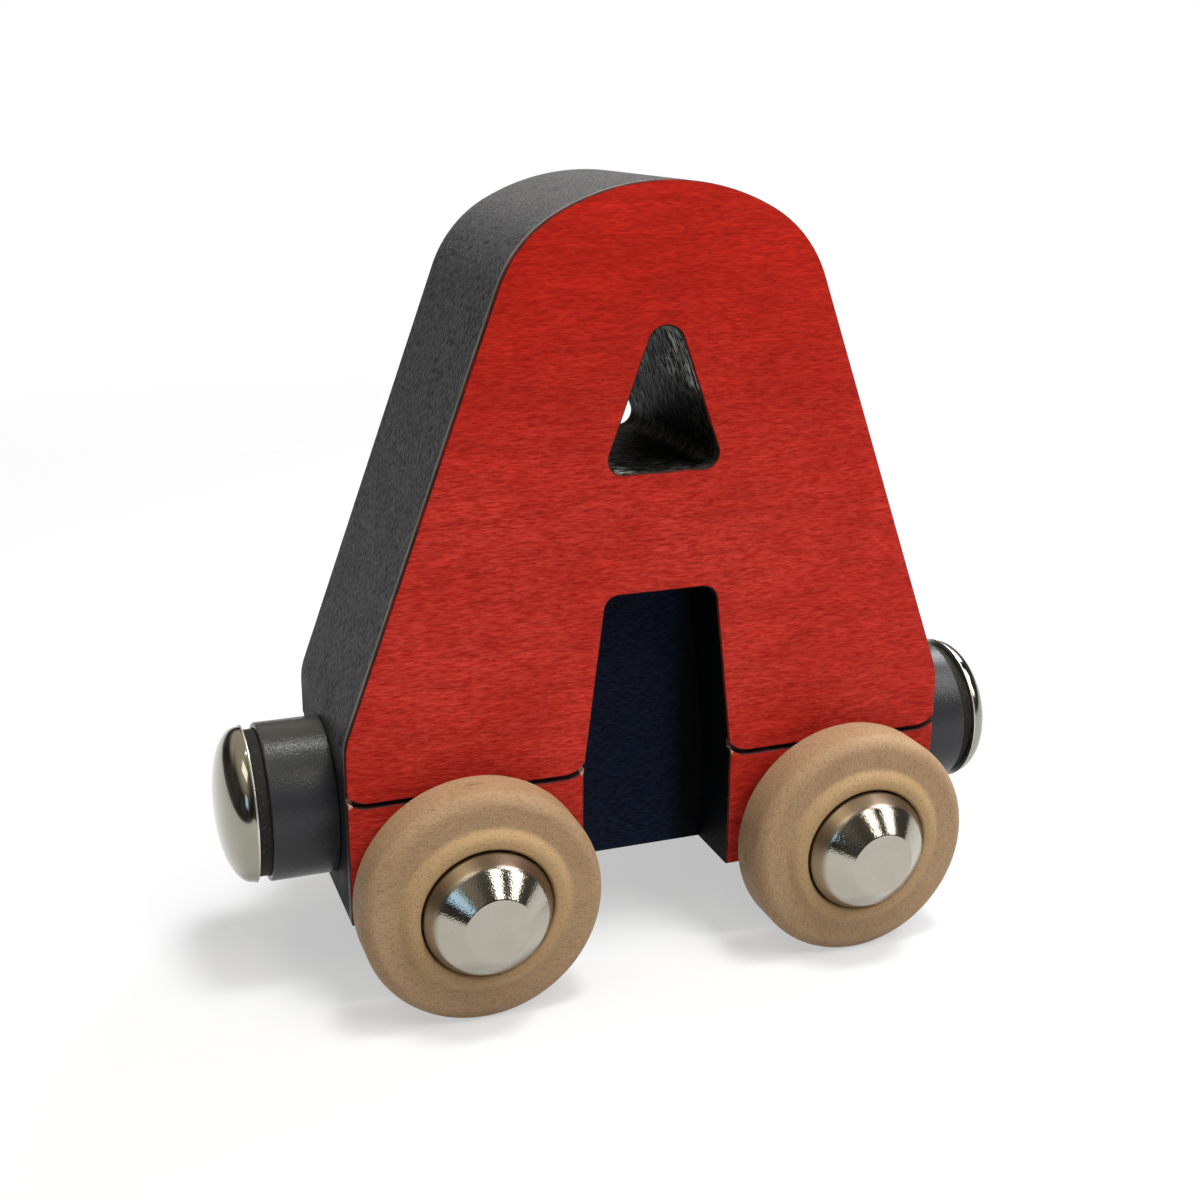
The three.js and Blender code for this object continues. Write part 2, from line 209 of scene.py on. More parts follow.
class WheelSettings(bpy.types.PropertyGroup):
    """Sizes of a turned wheel and its hub cap. Widths run outwards from the inner end."""

    bore_radius: size_of("Bore radius", "Hole for the axle", 1.35 * MM)
    boss_radius: size_of("Boss radius", "Boss that meets the block", 4.5 * MM)
    boss_height: size_of("Boss height", "How far the boss stands out", 1.1 * MM)
    rim_width: size_of("Rim width", "Width of the rim", 4.1 * MM)
    back_ease: size_of("Back ease", "Rounding of the rim's inner edge", 0.35 * MM)
    front_round: size_of("Front round", "Rounding of the rim's outer edge", 1.2 * MM)
    ring_radius: size_of("Ring radius", "Raised ring round the hub", 6.4 * MM)
    ring_slope: size_of("Ring slope", "How far the foot of the ring's outer wall reaches out", 0.65 * MM)
    ring_cove: size_of("Ring cove", "Hollow where the ring rises from the face", 0.6 * MM)
    ring_round: size_of("Ring round", "Rounding of the ring's outer edge", 1.2 * MM)
    recess_radius: size_of("Recess radius", "Recess that holds the cap", 5.38 * MM)
    recess_depth: size_of("Recess depth", "Depth of that recess", 1.9 * MM)
    recess_ease: size_of("Recess ease", "Rounding of the recess's mouth", 0.3 * MM)
    cap_fit: size_of("Cap fit", "How much wider the finished cap is than its solid", 0.13 * MM)
    cap_skirt_height: size_of("Cap skirt height", "Upright skirt of the hub cap", 1.6 * MM)
    cap_skirt_round: size_of("Cap skirt round", "Rounding between skirt and shoulder", 0.5 * MM)
    cap_shoulder_radius: size_of("Cap shoulder radius", "Where the steep shoulder meets the cone", 4.6 * MM)
    cap_shoulder_height: size_of("Cap shoulder height", "Height of that place", 2.72 * MM)
    cap_shoulder_round: size_of("Cap shoulder round", "Rounding between shoulder and cone", 1.4 * MM)
    cap_top_radius: size_of("Cap top radius", "Flat top of the hub cap", 2.65 * MM)
    cap_top_round: size_of("Cap top round", "Rounding of the flat's edge", 0.3 * MM)
    cap_wall: size_of("Cap wall", "Thickness of the cap's shell", 0.6 * MM)
    cap_cavity: size_of("Cap cavity", "Depth of the hollow inside the skirt", 1.4 * MM)
    cap_socket: size_of("Cap socket", "Depth of the socket for the axle", 3 * MM)


class CouplerSettings(bpy.types.PropertyGroup):
    """Sizes of a magnetic coupler. Lengths run outwards from the end of the block."""

    sleeve_wall: size_of("Sleeve wall", "Thickness of the sleeve", 0.45 * MM)
    sleeve_floor: size_of("Sleeve floor", "Thickness of the sleeve's inner end", 0.8 * MM)
    sleeve_ease: size_of("Sleeve ease", "Rounding of the sleeve's outer edge", 0.3 * MM)
    magnet_ease: size_of("Magnet ease", "Rounding of the magnet's edge", 0.12 * MM)
    hole_radius: size_of("Hole radius", "Hole for the nail", 0.95 * MM)
    dome_wall: size_of("Dome wall", "Thickness of the dome", 0.5 * MM)
    dome_lip: size_of("Dome lip", "Height of the flared lip at the dome's rim", 0.2 * MM)
    dome_flare: size_of("Dome flare", "How far that lip flares out", 0.1 * MM)
    dome_fullness: bpy.props.FloatProperty(
        name="Dome fullness", description="2 is half an ellipse, more is squarer",
        default=2.15, min=1.5, max=4.0,
    )


class FinishSettings(bpy.types.PropertyGroup):
    """Colours of the finishes, in linear light."""

    red: colour_of("Red stain", "Stain on the letter's faces", (0.52, 0.0195, 0.0085))
    red_dark: colour_of("Red stain, fibres", "Stain that soaked into the grain", (0.325, 0.0085, 0.004))
    # Painted light: a paler red for the sheen and light that grow from the top of the faces down to the
    # middle, not a thinner stain.
    red_painted_haze: colour_of("Red stain, thin", "Paler stain towards the middle", (0.61, 0.049, 0.033))
    red_pore: colour_of("Red stain, pores", "Deepest specks of the stain", (0.22, 0.006, 0.0035))
    edge_dark: colour_of("Edge line", "Dark line where stain and paint meet", (0.035, 0.012, 0.009))
    edge_worn: colour_of("Worn edge", "Paint rubbed thin along the edge", (0.21, 0.19, 0.16))
    charcoal: colour_of("Charcoal paint", "Paint on the letter's sides", (0.111, 0.112, 0.121))
    charcoal_dark: colour_of("Charcoal paint, fibres", "Paint sunk into the grain", (0.030, 0.030, 0.034))
    # Also the colour of the painted sheen on up-facing surfaces.
    charcoal_pale: colour_of("Charcoal paint, rubbed", "Paint rubbed on raised grain", (0.132, 0.130, 0.129))
    # Colour of the painted shade beside the couplers, not a thicker paint.
    charcoal_shade: colour_of("Charcoal paint, thick", "Paint beside the couplers", (0.012, 0.012, 0.0135))
    navy: colour_of("Pocket paint", "Paint between the legs", (0.0075, 0.0138, 0.037))
    navy_dark: colour_of("Pocket paint, fibres", "Paint in the pocket's grain", (0.0015, 0.0022, 0.005))
    counter: colour_of("Counter paint", "Paint in the open triangle", (0.0012, 0.0013, 0.0012))
    # Pale streak colour: raised grain, and the painted highlights on the counter's lit walls.
    counter_pale: colour_of("Counter paint, rubbed", "Raised grain in the open triangle", (0.78, 0.80, 0.75))
    groove: colour_of("Foot line", "Bottom of the foot line", (0.028, 0.008, 0.006))
    bare_wood: colour_of("Bare wood", "Wood where the stain is chipped", (0.50, 0.27, 0.19))
    maple: colour_of("Maple", "Bare turned maple", (0.392, 0.262, 0.150))
    maple_hub: colour_of("Maple, hub", "Burnished ring round the hub", (0.432, 0.284, 0.137))
    maple_dark: colour_of("Maple, fibres", "Darker grain of the maple", (0.29, 0.18, 0.092))
    maple_pore: colour_of("Maple, specks", "Fine dark specks of the maple", (0.12, 0.08, 0.048))
    nickel: colour_of("Nickel", "Bright plating", (0.405, 0.386, 0.326))
    # Painted shade: a darker copy of the caps' nickel, for the dimmer reflections in the domes.
    shaded_dome_nickel: colour_of("Dome nickel", "Plating of the coupler domes", (0.305, 0.297, 0.248))
    # Brown colour of the band round a cap's edge.
    nickel_brown_band: colour_of("Nickel, tarnish", "Tarnish round the edge of a cap", (0.27, 0.20, 0.125))
    # Bright colour of the painted highlight along a dome's rim, not brushing.
    nickel_rim_highlight: colour_of("Nickel, rim", "Brushed rim of a dome", (0.85, 0.84, 0.80))
    nickel_pit: colour_of("Nickel, pits", "Stains and pits in the plating", (0.27, 0.245, 0.19))
    sleeve: colour_of("Sleeve", "Charcoal sleeve of a coupler", (0.030, 0.030, 0.034))
    # Painted light on a sleeve's top, not dust.
    sleeve_top: colour_of("Sleeve, top", "Dusty top of a sleeve", (0.037, 0.038, 0.034))
    ferrite: colour_of("Ferrite", "Pressed magnet", (0.017, 0.016, 0.012))
    steel: colour_of("Steel", "Drawn wire of axles and nails", (0.48, 0.47, 0.45))
    steel_dark: colour_of("Steel, dark", "Darker lines of the wire", (0.36, 0.35, 0.33))


class StageSettings(bpy.types.PropertyGroup):
    """Camera, floor and lights."""

    camera_place: bpy.props.FloatVectorProperty(
        name="Camera place", description="Where the camera stands", size=3, subtype="XYZ", unit="LENGTH",
        default=(-46.7 * MM, -118.86 * MM, 69.9 * MM),
    )
    camera_turn: bpy.props.FloatVectorProperty(
        name="Camera turn", description="Camera's rotation", size=3, subtype="EULER",
        default=(math.radians(72.166), math.radians(0.095), math.radians(-18.975)),
    )
    camera_lens: bpy.props.FloatProperty(
        name="Camera lens", description="Focal length in millimetres", default=46.87, min=1.0
    )
    camera_shift: bpy.props.FloatProperty(
        name="Camera shift", description="Sideways shift of the lens", default=0.0392
    )
    floor_radius: size_of("Floor radius", "Radius of the floor", 0.9)
    floor_clear: size_of("Floor clear", "Where the floor starts to fade out", 0.07)
    floor_end: size_of("Floor end", "Where the floor has faded out", 0.32)
    floor_colour: colour_of("Floor colour", "Pale floor as it is seen", (0.37, 0.37, 0.37))
    floor_bounce: colour_of("Floor bounce", "How much light the floor throws back", (0.54, 0.54, 0.54))
    floor_glow: bpy.props.FloatProperty(
        name="Floor glow", description="White that keeps the seen floor pale in the shadow",
        default=0.5, min=0.0,
    )
    room_dark: colour_of("Room, dark", "Darkest parts of the room in reflections", (0.012, 0.011, 0.010))
    room_dim: colour_of("Room, dim", "Dim patches of that room", (0.11, 0.10, 0.088))
    room_lit: colour_of("Room, lit", "Lit side of that room", (0.70, 0.64, 0.53))
    ambient: bpy.props.FloatProperty(
        name="Ambient light", description="Even light from all round", default=0.2, min=0.0
    )
    key_power: bpy.props.FloatProperty(
        name="Overhead light", description="Power of the softbox overhead, in watts", default=3.3, min=0.0
    )


# Outlines

def arc(centre, radius, start, end, step=FINE_STEP):
    """Points of an arc, both ends included."""
    count = max(1, math.ceil(abs(end - start) / step))
    angles = [start + (end - start) * i / count for i in range(count + 1)]
    return [Vector((centre[0] + radius * math.cos(a), centre[1] + radius * math.sin(a))) for a in angles]


def rounded(corners, step=CORNER_STEP):
    """Points of a closed outline with corners (x, y, radius). The edges beside it limit a rounding."""
    points = []
    for index, (x, y, radius) in enumerate(corners):
        corner = Vector((x, y))
        if radius <= 0:
            points.append(corner)
            continue
        before = Vector(corners[index - 1][:2]) - corner
        after = Vector(corners[(index + 1) % len(corners)][:2]) - corner
        half_turn = (math.pi - before.angle(after)) / 2
        room = LONGEST_FILLET * min(before.length, after.length)
        reach = min(radius * math.tan(half_turn), room)
        bend = reach / math.tan(half_turn)
        centre = corner + (before.normalized() + after.normalized()).normalized() * math.hypot(bend, reach)
        start = corner + before.normalized() * reach - centre
        way = math.copysign(1, after.cross(before))
        count = max(1, math.ceil(2 * half_turn / step))
        for i in range(count + 1):
            turn = Matrix.Rotation(way * 2 * half_turn * i / count, 2)
            points.append(centre + turn @ start)
    return points


def moved_out(outline, distance):
    """A closed counter-clockwise outline with every edge moved outwards by a distance."""
    points = []
    for index, point in enumerate(outline):
        before = (point - outline[index - 1]).normalized()
        after = (outline[(index + 1) % len(outline)] - point).normalized()
        left, right = Vector((before.y, -before.x)), Vector((after.y, -after.x))
        mitre = left + right
        points.append(point + mitre * (distance * 2 / mitre.length_squared))
    return points


def letter_outline(block):
    """Upright ends, leaning sides, round shoulders and a shallow crown, counter-clockwise."""
    height = BLOCK_HIGH.z - BLOCK_LOW.z
    corner = Vector((block.top_width / 2, height - block.crown_rise))
    lean = math.atan2(BLOCK_HALF - corner.x, corner.y - block.end_height)
    outwards = Vector((math.cos(lean), math.sin(lean)))
    along = Vector((-outwards.y, outwards.x))

    crown_radius = (corner.x ** 2 + block.crown_rise ** 2) / (2 * block.crown_rise)
    crown = Vector((0, height - crown_radius))
    depth = outwards.dot(corner - crown) - block.shoulder_radius
    reach = math.sqrt((crown_radius - block.shoulder_radius) ** 2 - depth ** 2)
    shoulder = crown + outwards * depth + along * reach
    crown_start = math.atan2(shoulder.y - crown.y, shoulder.x - crown.x)

    fold = (BLOCK_HALF - block.fold_radius, block.end_height - block.fold_radius * math.tan(lean / 2))
    right = [Vector((BLOCK_HALF, 0))]
    right += arc(fold, block.fold_radius, 0, lean)
    right += arc(shoulder, block.shoulder_radius, lean, crown_start)
    top = arc(crown, crown_radius, crown_start, math.pi - crown_start)[1:-1]
    left = [Vector((-point.x, point.y)) for point in reversed(right)]
    return right + top + left


def counter_outline(block):
    half = block.counter_width / 2
    return rounded([
        (-half, block.counter_floor, block.counter_foot_radius),
        (half, block.counter_floor, block.counter_foot_radius),
        (0, block.counter_floor + block.counter_peak, block.counter_top_radius),
    ])


def notch_outline(block):
    top, foot = block.notch_top_width / 2, block.notch_foot_width / 2
    return rounded([
        (-foot, -CUT_MARGIN, 0),
        (foot, -CUT_MARGIN, 0),
        (foot, block.foot_line_height, 0),
        (top, block.notch_height, block.notch_corner),
        (-top, block.notch_height, block.notch_corner),
        (-foot, block.foot_line_height, 0),
    ])


def foot_line_outline(block, side):
    """Thin band across one leg, which turns up at both ends."""
    inner = block.notch_foot_width / 2 + block.foot_corner_inset
    outer = BLOCK_HALF - block.foot_corner_inset
    centre_height = block.foot_line_height + block.foot_corner_radius
    below = block.foot_corner_radius + block.foot_line_width / 2
    above = block.foot_corner_radius - block.foot_line_width / 2
    down = 1.5 * math.pi
    start, end = down - FOOT_LINE_TURN, down + FOOT_LINE_TURN
    points = arc((inner, centre_height), below, start, down, CORNER_STEP)
    points += arc((outer, centre_height), below, down, end, CORNER_STEP)
    points += arc((outer, centre_height), above, end, down, CORNER_STEP)
    points += arc((inner, centre_height), above, down, start, CORNER_STEP)
    if side > 0:
        return points
    return [Vector((-point.x, point.y)) for point in reversed(points)]


# Meshes

def object_from(name, made, materials):
    """Turns a bmesh into a scene object with its normals facing out."""
    bmesh.ops.recalc_face_normals(made, faces=made.faces)
    mesh = bpy.data.meshes.new(name)
    made.to_mesh(mesh)
    made.free()
    for material in materials:
        mesh.materials.append(material)
    built = bpy.data.objects.new(name, mesh)
    bpy.context.scene.collection.objects.link(built)
    return built


def smooth(built):
    built.data.shade_smooth()
    built.data.set_sharp_from_angle(angle=SMOOTH_ANGLE)


def lofted(name, loops, slots, materials):
    """A closed mesh through loops of equal count.

    slots gives the material of the first cap, of each band and of the last cap.
    """
    made = bmesh.new()
    rings = [[made.verts.new(point) for point in loop] for loop in loops]
    made.faces.new(rings[0]).material_index = slots[0]
    made.faces.new(rings[-1]).material_index = slots[-1]
    for first, second, slot in zip(rings, rings[1:], slots[1:-1]):
        for i in range(len(first)):
            j = (i + 1) % len(first)
            made.faces.new((first[i], first[j], second[j], second[i])).material_index = slot
    return object_from(name, made, materials)


def turned(name, profile, closed, materials, facets=TURNED_FACETS):
    """A mesh turned about local Y from (radius, along) points.

    A profile that isn't closed begins and ends on the axis.
    """
    made = bmesh.new()
    rings = []
    for radius, along in profile:
        if radius < TINY:
            rings.append([made.verts.new((0, along, 0))])
            continue
        angles = [2 * math.pi * i / facets for i in range(facets)]
        rings.append([made.verts.new((radius * math.cos(a), along, radius * math.sin(a))) for a in angles])
    pairs = list(zip(rings, rings[1:]))
    if closed:
        pairs.append((rings[-1], rings[0]))
    for first, second in pairs:
        for i in range(facets):
            j = (i + 1) % facets
            corners = []
            for ring, place in ((first, i), (first, j), (second, j), (second, i)):
                vertex = ring[place % len(ring)]
                if vertex not in corners:
                    corners.append(vertex)
            made.faces.new(corners)
    built = object_from(name, made, materials)
    smooth(built)
    return built


def standing(outline, y):
    """An outline drawn in X and Z above the block's underside, placed at a depth."""
    return [Vector((point.x, y, point.y + BLOCK_LOW.z)) for point in outline]


def face_cutter(name, outline, face, depth, ease, wall, rim):
    """Cutter from outside one face of the block to a depth, with an eased mouth."""
    surface = BLOCK_HIGH.y if face > 0 else BLOCK_LOW.y
    wide = moved_out(outline, ease)
    loops = [
        standing(wide, surface + face * CUT_MARGIN),
        standing(wide, surface),
        standing(outline, surface - face * ease),
        standing(outline, surface - face * depth),
    ]
    return lofted(name, loops, (WALL, WALL, RIM, WALL, WALL), (wall, rim))


def through_cutter(name, outline, ease, back_ease, wall, rim):
    """Cutter right through the block, with eased mouths on both faces."""
    wide = moved_out(outline, ease)
    back = moved_out(outline, back_ease)
    loops = [
        standing(wide, BLOCK_LOW.y - CUT_MARGIN),
        standing(wide, BLOCK_LOW.y),
        standing(outline, BLOCK_LOW.y + ease),
        standing(outline, BLOCK_HIGH.y - back_ease),
        standing(back, BLOCK_HIGH.y),
        standing(back, BLOCK_HIGH.y + CUT_MARGIN),
    ]
    return lofted(name, loops, (WALL, WALL, RIM, WALL, RIM, WALL, WALL), (wall, rim))


def rod_cutter(name, start, end, radius, material):
    """A plain round cutter between two points."""
    direction = (end - start).normalized()
    square = direction.orthogonal().normalized()
    beside = direction.cross(square)
    angles = [2 * math.pi * i / BORE_FACETS for i in range(BORE_FACETS)]
    ring = [square * (radius * math.cos(a)) + beside * (radius * math.sin(a)) for a in angles]
    loops = [[start + point for point in ring], [end + point for point in ring]]
    return lofted(name, loops, (WALL, WALL, WALL), (material,))


def cut_away(built, cutters):
    """Cuts the cutters out of an object, takes their materials over and removes them."""
    for cutter in cutters:
        step = built.modifiers.new(cutter.name, "BOOLEAN")
        step.operation = "DIFFERENCE"
        step.solver = "EXACT"
        step.material_mode = "TRANSFER"
        step.object = cutter
    graph = bpy.context.evaluated_depsgraph_get()
    mesh = bpy.data.meshes.new_from_object(built.evaluated_get(graph))
    built.modifiers.clear()
    built.data = mesh
    for cutter in cutters:
        bpy.data.objects.remove(cutter)


def beside_face(name, face):
    """Where a turned piece stands: its inner end towards a face of the block, its outer end outwards."""
    low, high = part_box(name)
    seat = middle(low, high)
    seat.y = low.y if face > 0 else high.y
    return Matrix.Translation(seat) @ Matrix.Rotation(0 if face > 0 else math.pi, 4, "Z")


def set_in_frame(piece, node):
    """The piece stands for a CAD node, whose part it hides, and rides on its body."""
    body = next(name for name, nodes in BODIES.items() if node in nodes)
    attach(piece, body)
    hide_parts(node)


# Shader helpers

def blank_tree(holder):
    """The emptied node tree of a material or a world."""
    holder.use_nodes = True
    holder.node_tree.nodes.clear()
    return holder.node_tree


def feed(tree, socket, value):
    """Links a socket to another one or gives it a value. A colour is given as red, green and blue."""
    if isinstance(value, bpy.types.NodeSocket):
        tree.links.new(value, socket)
    elif socket.type == "RGBA":
        socket.default_value = (*value, 1.0)
    else:
        socket.default_value = value


def node(tree, kind, inputs=None, **settings):
    made = tree.nodes.new(kind)
    for name, value in settings.items():
        setattr(made, name, value)
    for name, value in (inputs or {}).items():
        feed(tree, made.inputs[name], value)
    return made


def sums(tree, operation, first, second=0.0, third=0.0):
    return node(tree, "ShaderNodeMath", {0: first, 1: second, 2: third}, operation=operation).outputs[0]


def times(tree, first, second):
    return sums(tree, "MULTIPLY", first, second)


def thinned(tree, mask, share):
    """A mask at a share of its strength."""
    return times(tree, mask, share)


def vector_sums(tree, operation, first, second=(0, 0, 0), output="Vector"):
    return node(tree, "ShaderNodeVectorMath", {0: first, 1: second}, operation=operation).outputs[output]


def coordinate(tree, vector, axis):
    return node(tree, "ShaderNodeSeparateXYZ", {0: vector}).outputs[axis]


def from_axis(tree, where):
    """Distance from a turned piece's own axis."""
    return vector_sums(tree, "LENGTH", vector_sums(tree, "MULTIPLY", where, WITHOUT_Y), output="Value")


def ramp(tree, value, *, low=0.0, high=1.0, to_low=0.0, to_high=1.0):
    """A smooth step from to_low, where the value is low, to to_high, where it is high."""
    made = node(
        tree,
        "ShaderNodeMapRange",
        {"Value": value, "From Min": low, "From Max": high, "To Min": to_low, "To Max": to_high},
        interpolation_type="SMOOTHSTEP",
    )
    return made.outputs["Result"]


def blend_colour(tree, share, first, second, way="MIX"):
    made = node(tree, "ShaderNodeMix", {0: share, 6: first, 7: second}, data_type="RGBA", blend_type=way)
    return made.outputs[2]


def noise(tree, where, *, detail, roughness):
    inputs = {"Vector": where, "Scale": 1.0, "Detail": detail, "Roughness": roughness}
    return node(tree, "ShaderNodeTexNoise", inputs).outputs[0]


def grains(tree, where, density):
    """An even fine grit, with its density in grains per metre."""
    scaled = vector_sums(tree, "MULTIPLY", where, (density, density, density))
    return noise(tree, scaled, detail=1.0, roughness=0.5)


def new_group(name, inputs, outputs):
    tree = bpy.data.node_groups.new(name, "ShaderNodeTree")
    for label, kind, default in inputs:
        socket = tree.interface.new_socket(name=label, in_out="INPUT", socket_type=kind)
        socket.default_value = default
    for label in outputs:
        tree.interface.new_socket(name=label, in_out="OUTPUT", socket_type="NodeSocketFloat")
    return tree, tree.nodes.new("NodeGroupInput").outputs, tree.nodes.new("NodeGroupOutput").inputs


def wood_fibres():
    """Fine broken fibres and their slow drift. Stretch is in features per metre along each axis."""
    tree, given, result = new_group(
        "wood_fibres",
        [
            ("Position", "NodeSocketVector", (0, 0, 0)),
            ("Stretch", "NodeSocketVector", (1000, 1000, 1000)),
            ("Softness", "NodeSocketFloat", 0.15),
        ],
        ["Fibres", "Drift"],
    )
    scaled = vector_sums(tree, "MULTIPLY", given["Position"], given["Stretch"])
    fine = noise(tree, scaled, detail=3.0, roughness=0.6)
    low = sums(tree, "SUBTRACT", NOISE_MEAN, given["Softness"])
    high = sums(tree, "ADD", NOISE_MEAN, given["Softness"])
    feed(tree, result["Fibres"], ramp(tree, fine, low=low, high=high))
    slow = vector_sums(tree, "MULTIPLY", scaled, DRIFT_SCALE)
    feed(tree, result["Drift"], noise(tree, slow, detail=2.0, roughness=0.5))
    return tree


def wood_pores():
    """Scattered short specks. Share is how many of the cells hold one."""
    tree, given, result = new_group(
        "wood_pores",
        [
            ("Position", "NodeSocketVector", (0, 0, 0)),
            ("Stretch", "NodeSocketVector", (1000, 1000, 1000)),
            ("Share", "NodeSocketFloat", 0.3),
            ("Size", "NodeSocketFloat", 0.35),
        ],
        ["Pores"],
    )
    scaled = vector_sums(tree, "MULTIPLY", given["Position"], given["Stretch"])
    cells = node(tree, "ShaderNodeTexVoronoi", {"Vector": scaled, "Scale": 1.0, "Randomness": 1.0})
    inside = ramp(tree, cells.outputs["Distance"], low=given["Size"], high=0.0)
    draw = node(tree, "ShaderNodeSeparateColor", {0: cells.outputs["Color"]}).outputs[0]
    chosen = sums(tree, "LESS_THAN", draw, given["Share"])
    feed(tree, result["Pores"], times(tree, inside, chosen))
    return tree


def soft_clouds():
    """Slow uneven patches. Size is in patches per metre."""
    tree, given, result = new_group(
        "soft_clouds",
        [("Position", "NodeSocketVector", (0, 0, 0)), ("Size", "NodeSocketFloat", 80.0)],
        ["Clouds"],
    )
    scaled = node(tree, "ShaderNodeVectorMath", {0: given["Position"], 3: given["Size"]}, operation="SCALE")
    patches = noise(tree, scaled.outputs[0], detail=3.0, roughness=0.55)
    feed(tree, result["Clouds"], ramp(tree, patches, low=0.3, high=0.7))
    return tree


GROUP_MAKERS = {"wood_fibres": wood_fibres, "wood_pores": wood_pores, "soft_clouds": soft_clouds}


def effect(tree, name, where, **inputs):
    """Places a shared effect in a material, with its own values."""
    group = bpy.data.node_groups.get(name) or GROUP_MAKERS[name]()
    return node(tree, "ShaderNodeGroup", {"Position": where, **inputs}, node_tree=group).outputs


def new_material(name, **constants):
    """A material with a bare Principled shader. constants are the shader's own fixed values."""
    material = bpy.data.materials.new(name)
    tree = blank_tree(material)
    shader = tree.nodes.new("ShaderNodeBsdfPrincipled")
    out = tree.nodes.new("ShaderNodeOutputMaterial")
    tree.links.new(shader.outputs[0], out.inputs["Surface"])
    for label, value in constants.items():
        shader.inputs[label.replace("_", " ")].default_value = value
    return material, tree, shader.inputs


def position(tree):
    return node(tree, "ShaderNodeTexCoord").outputs["Object"]


def seen_rays(tree):
    """1 for what the camera sees straight, in a reflection or through glass."""
    rays = node(tree, "ShaderNodeLightPath").outputs
    seen = sums(tree, "ADD", rays["Is Camera Ray"], rays["Is Glossy Ray"])
    return sums(tree, "MINIMUM", sums(tree, "ADD", seen, rays["Is Transmission Ray"]), 1.0)


def raised(tree, height, *, strength, depth):
    inputs = {"Height": height, "Strength": strength, "Distance": depth}
    return node(tree, "ShaderNodeBump", inputs).outputs[0]


# Finishes

def bare_spots(tree, where, block):
    """Mask of the bare wood at the foot lines: on their left end and on both sides of the pocket."""
    height = BLOCK_LOW.z + block.foot_line_height + BARE_LIFT
    flat = vector_sums(tree, "MULTIPLY", where, WITHOUT_Y)
    inner = block.notch_foot_width / 2 + BARE_INSET
    masks = []
    for beside, x, size in (
        (flat, BARE_INSET - BLOCK_HALF, BARE_END_SIZE),
        (vector_sums(tree, "ABSOLUTE", flat), inner, BARE_POCKET_SIZE),
    ):
        away = vector_sums(tree, "DISTANCE", beside, (x, 0, height), "Value")
        masks.append(ramp(tree, away, low=size, high=size * BARE_CORE))
    return sums(tree, "MAXIMUM", *masks)


def facing_up(tree):
    """1 where a surface faces straight up in the object's own frame."""
    outwards = node(tree, "ShaderNodeTexCoord").outputs["Normal"]
    return coordinate(tree, outwards, "Z")


def shade_beside_couplers(tree, where, colour, finish, block):
    """A colour with painted shade on the end faces, beside the couplers and below the fold, where the
    couplers shade the block.
    """
    axis = middle(SLEEVE_LOW, SLEEVE_HIGH).z
    reach = (SLEEVE_HIGH.z - SLEEVE_LOW.z) / 2
    across = vector_sums(tree, "MULTIPLY", vector_sums(tree, "ABSOLUTE", where), WITHOUT_X)
    away = vector_sums(tree, "DISTANCE", across, (0, COUPLER_SHADE_SPREAD, axis), "Value")
    near = ramp(tree, away, low=reach + COUPLER_SHADE_OUTER, high=reach + COUPLER_SHADE_INNER)
    fold = BLOCK_LOW.z + block.end_height
    below = ramp(tree, coordinate(tree, where, "Z"), low=fold, high=fold - COUPLER_SHADE_FADE)
    coupler_shade = thinned(tree, times(tree, near, below), share=0.9)
    return blend_colour(tree, coupler_shade, colour, finish.charcoal_shade)


def red_stain(finish, block):
    material, tree, shader = new_material("red_stain", Specular_IOR_Level=0.09)
    where = position(tree)
    grain = effect(tree, "wood_fibres", where, Stretch=(1300, 1300, 7600), Softness=0.28)
    dashes = effect(tree, "wood_pores", where, Stretch=(1500, 1500, 5600), Share=0.32, Size=0.5)["Pores"]
    clouds = effect(tree, "soft_clouds", where, Size=95.0)["Clouds"]
    streaks = effect(tree, "wood_fibres", where, Stretch=(480, 480, 3000), Softness=0.3)["Fibres"]
    # Painted light: the red turns paler from the top band down to the middle, for sheen and floor light that
    # grow lower on the faces.
    height = coordinate(tree, where, "Z")
    thin = ramp(tree, height, low=BLOCK_HIGH.z - HAZE_TOP_BAND, high=middle(BLOCK_LOW, BLOCK_HIGH).z)
    thin = times(tree, thin, ramp(tree, clouds, to_low=0.6))
    colour = blend_colour(tree, thin, finish.red, finish.red_painted_haze)
    colour = blend_colour(tree, grain["Fibres"], finish.red_dark, colour)
    colour = blend_colour(tree, thinned(tree, dashes, share=0.5), colour, finish.red_pore)
    shade = ramp(tree, grain["Drift"], low=0.3, high=0.7, to_low=0.93, to_high=1.05)
    shade = times(tree, shade, ramp(tree, streaks, to_low=0.87, to_high=1.09))
    shade = times(tree, shade, ramp(tree, clouds, to_low=0.96, to_high=1.03))
    grey = node(tree, "ShaderNodeCombineColor", {0: shade, 1: shade, 2: shade}).outputs[0]
    colour = blend_colour(tree, 1.0, colour, grey, "MULTIPLY")
    bare = bare_spots(tree, where, block)
    feed(tree, shader["Base Color"], blend_colour(tree, bare, colour, finish.bare_wood))
    feed(tree, shader["Roughness"], ramp(tree, grain["Fibres"], to_low=0.62, to_high=0.48))
    relief = sums(tree, "SUBTRACT", grain["Fibres"], dashes)
    feed(tree, shader["Normal"], raised(tree, relief, strength=0.12, depth=0.03 * MM))
    return material


def edge_line(finish):
    material, tree, shader = new_material("edge_line", Roughness=0.6, Specular_IOR_Level=0.1)
    clouds = effect(tree, "soft_clouds", position(tree), Size=700.0)["Clouds"]
    stained = ramp(tree, clouds, low=0.35, to_high=0.55)
    feed(tree, shader["Base Color"], blend_colour(tree, stained, finish.edge_dark, finish.red_pore))
    return material


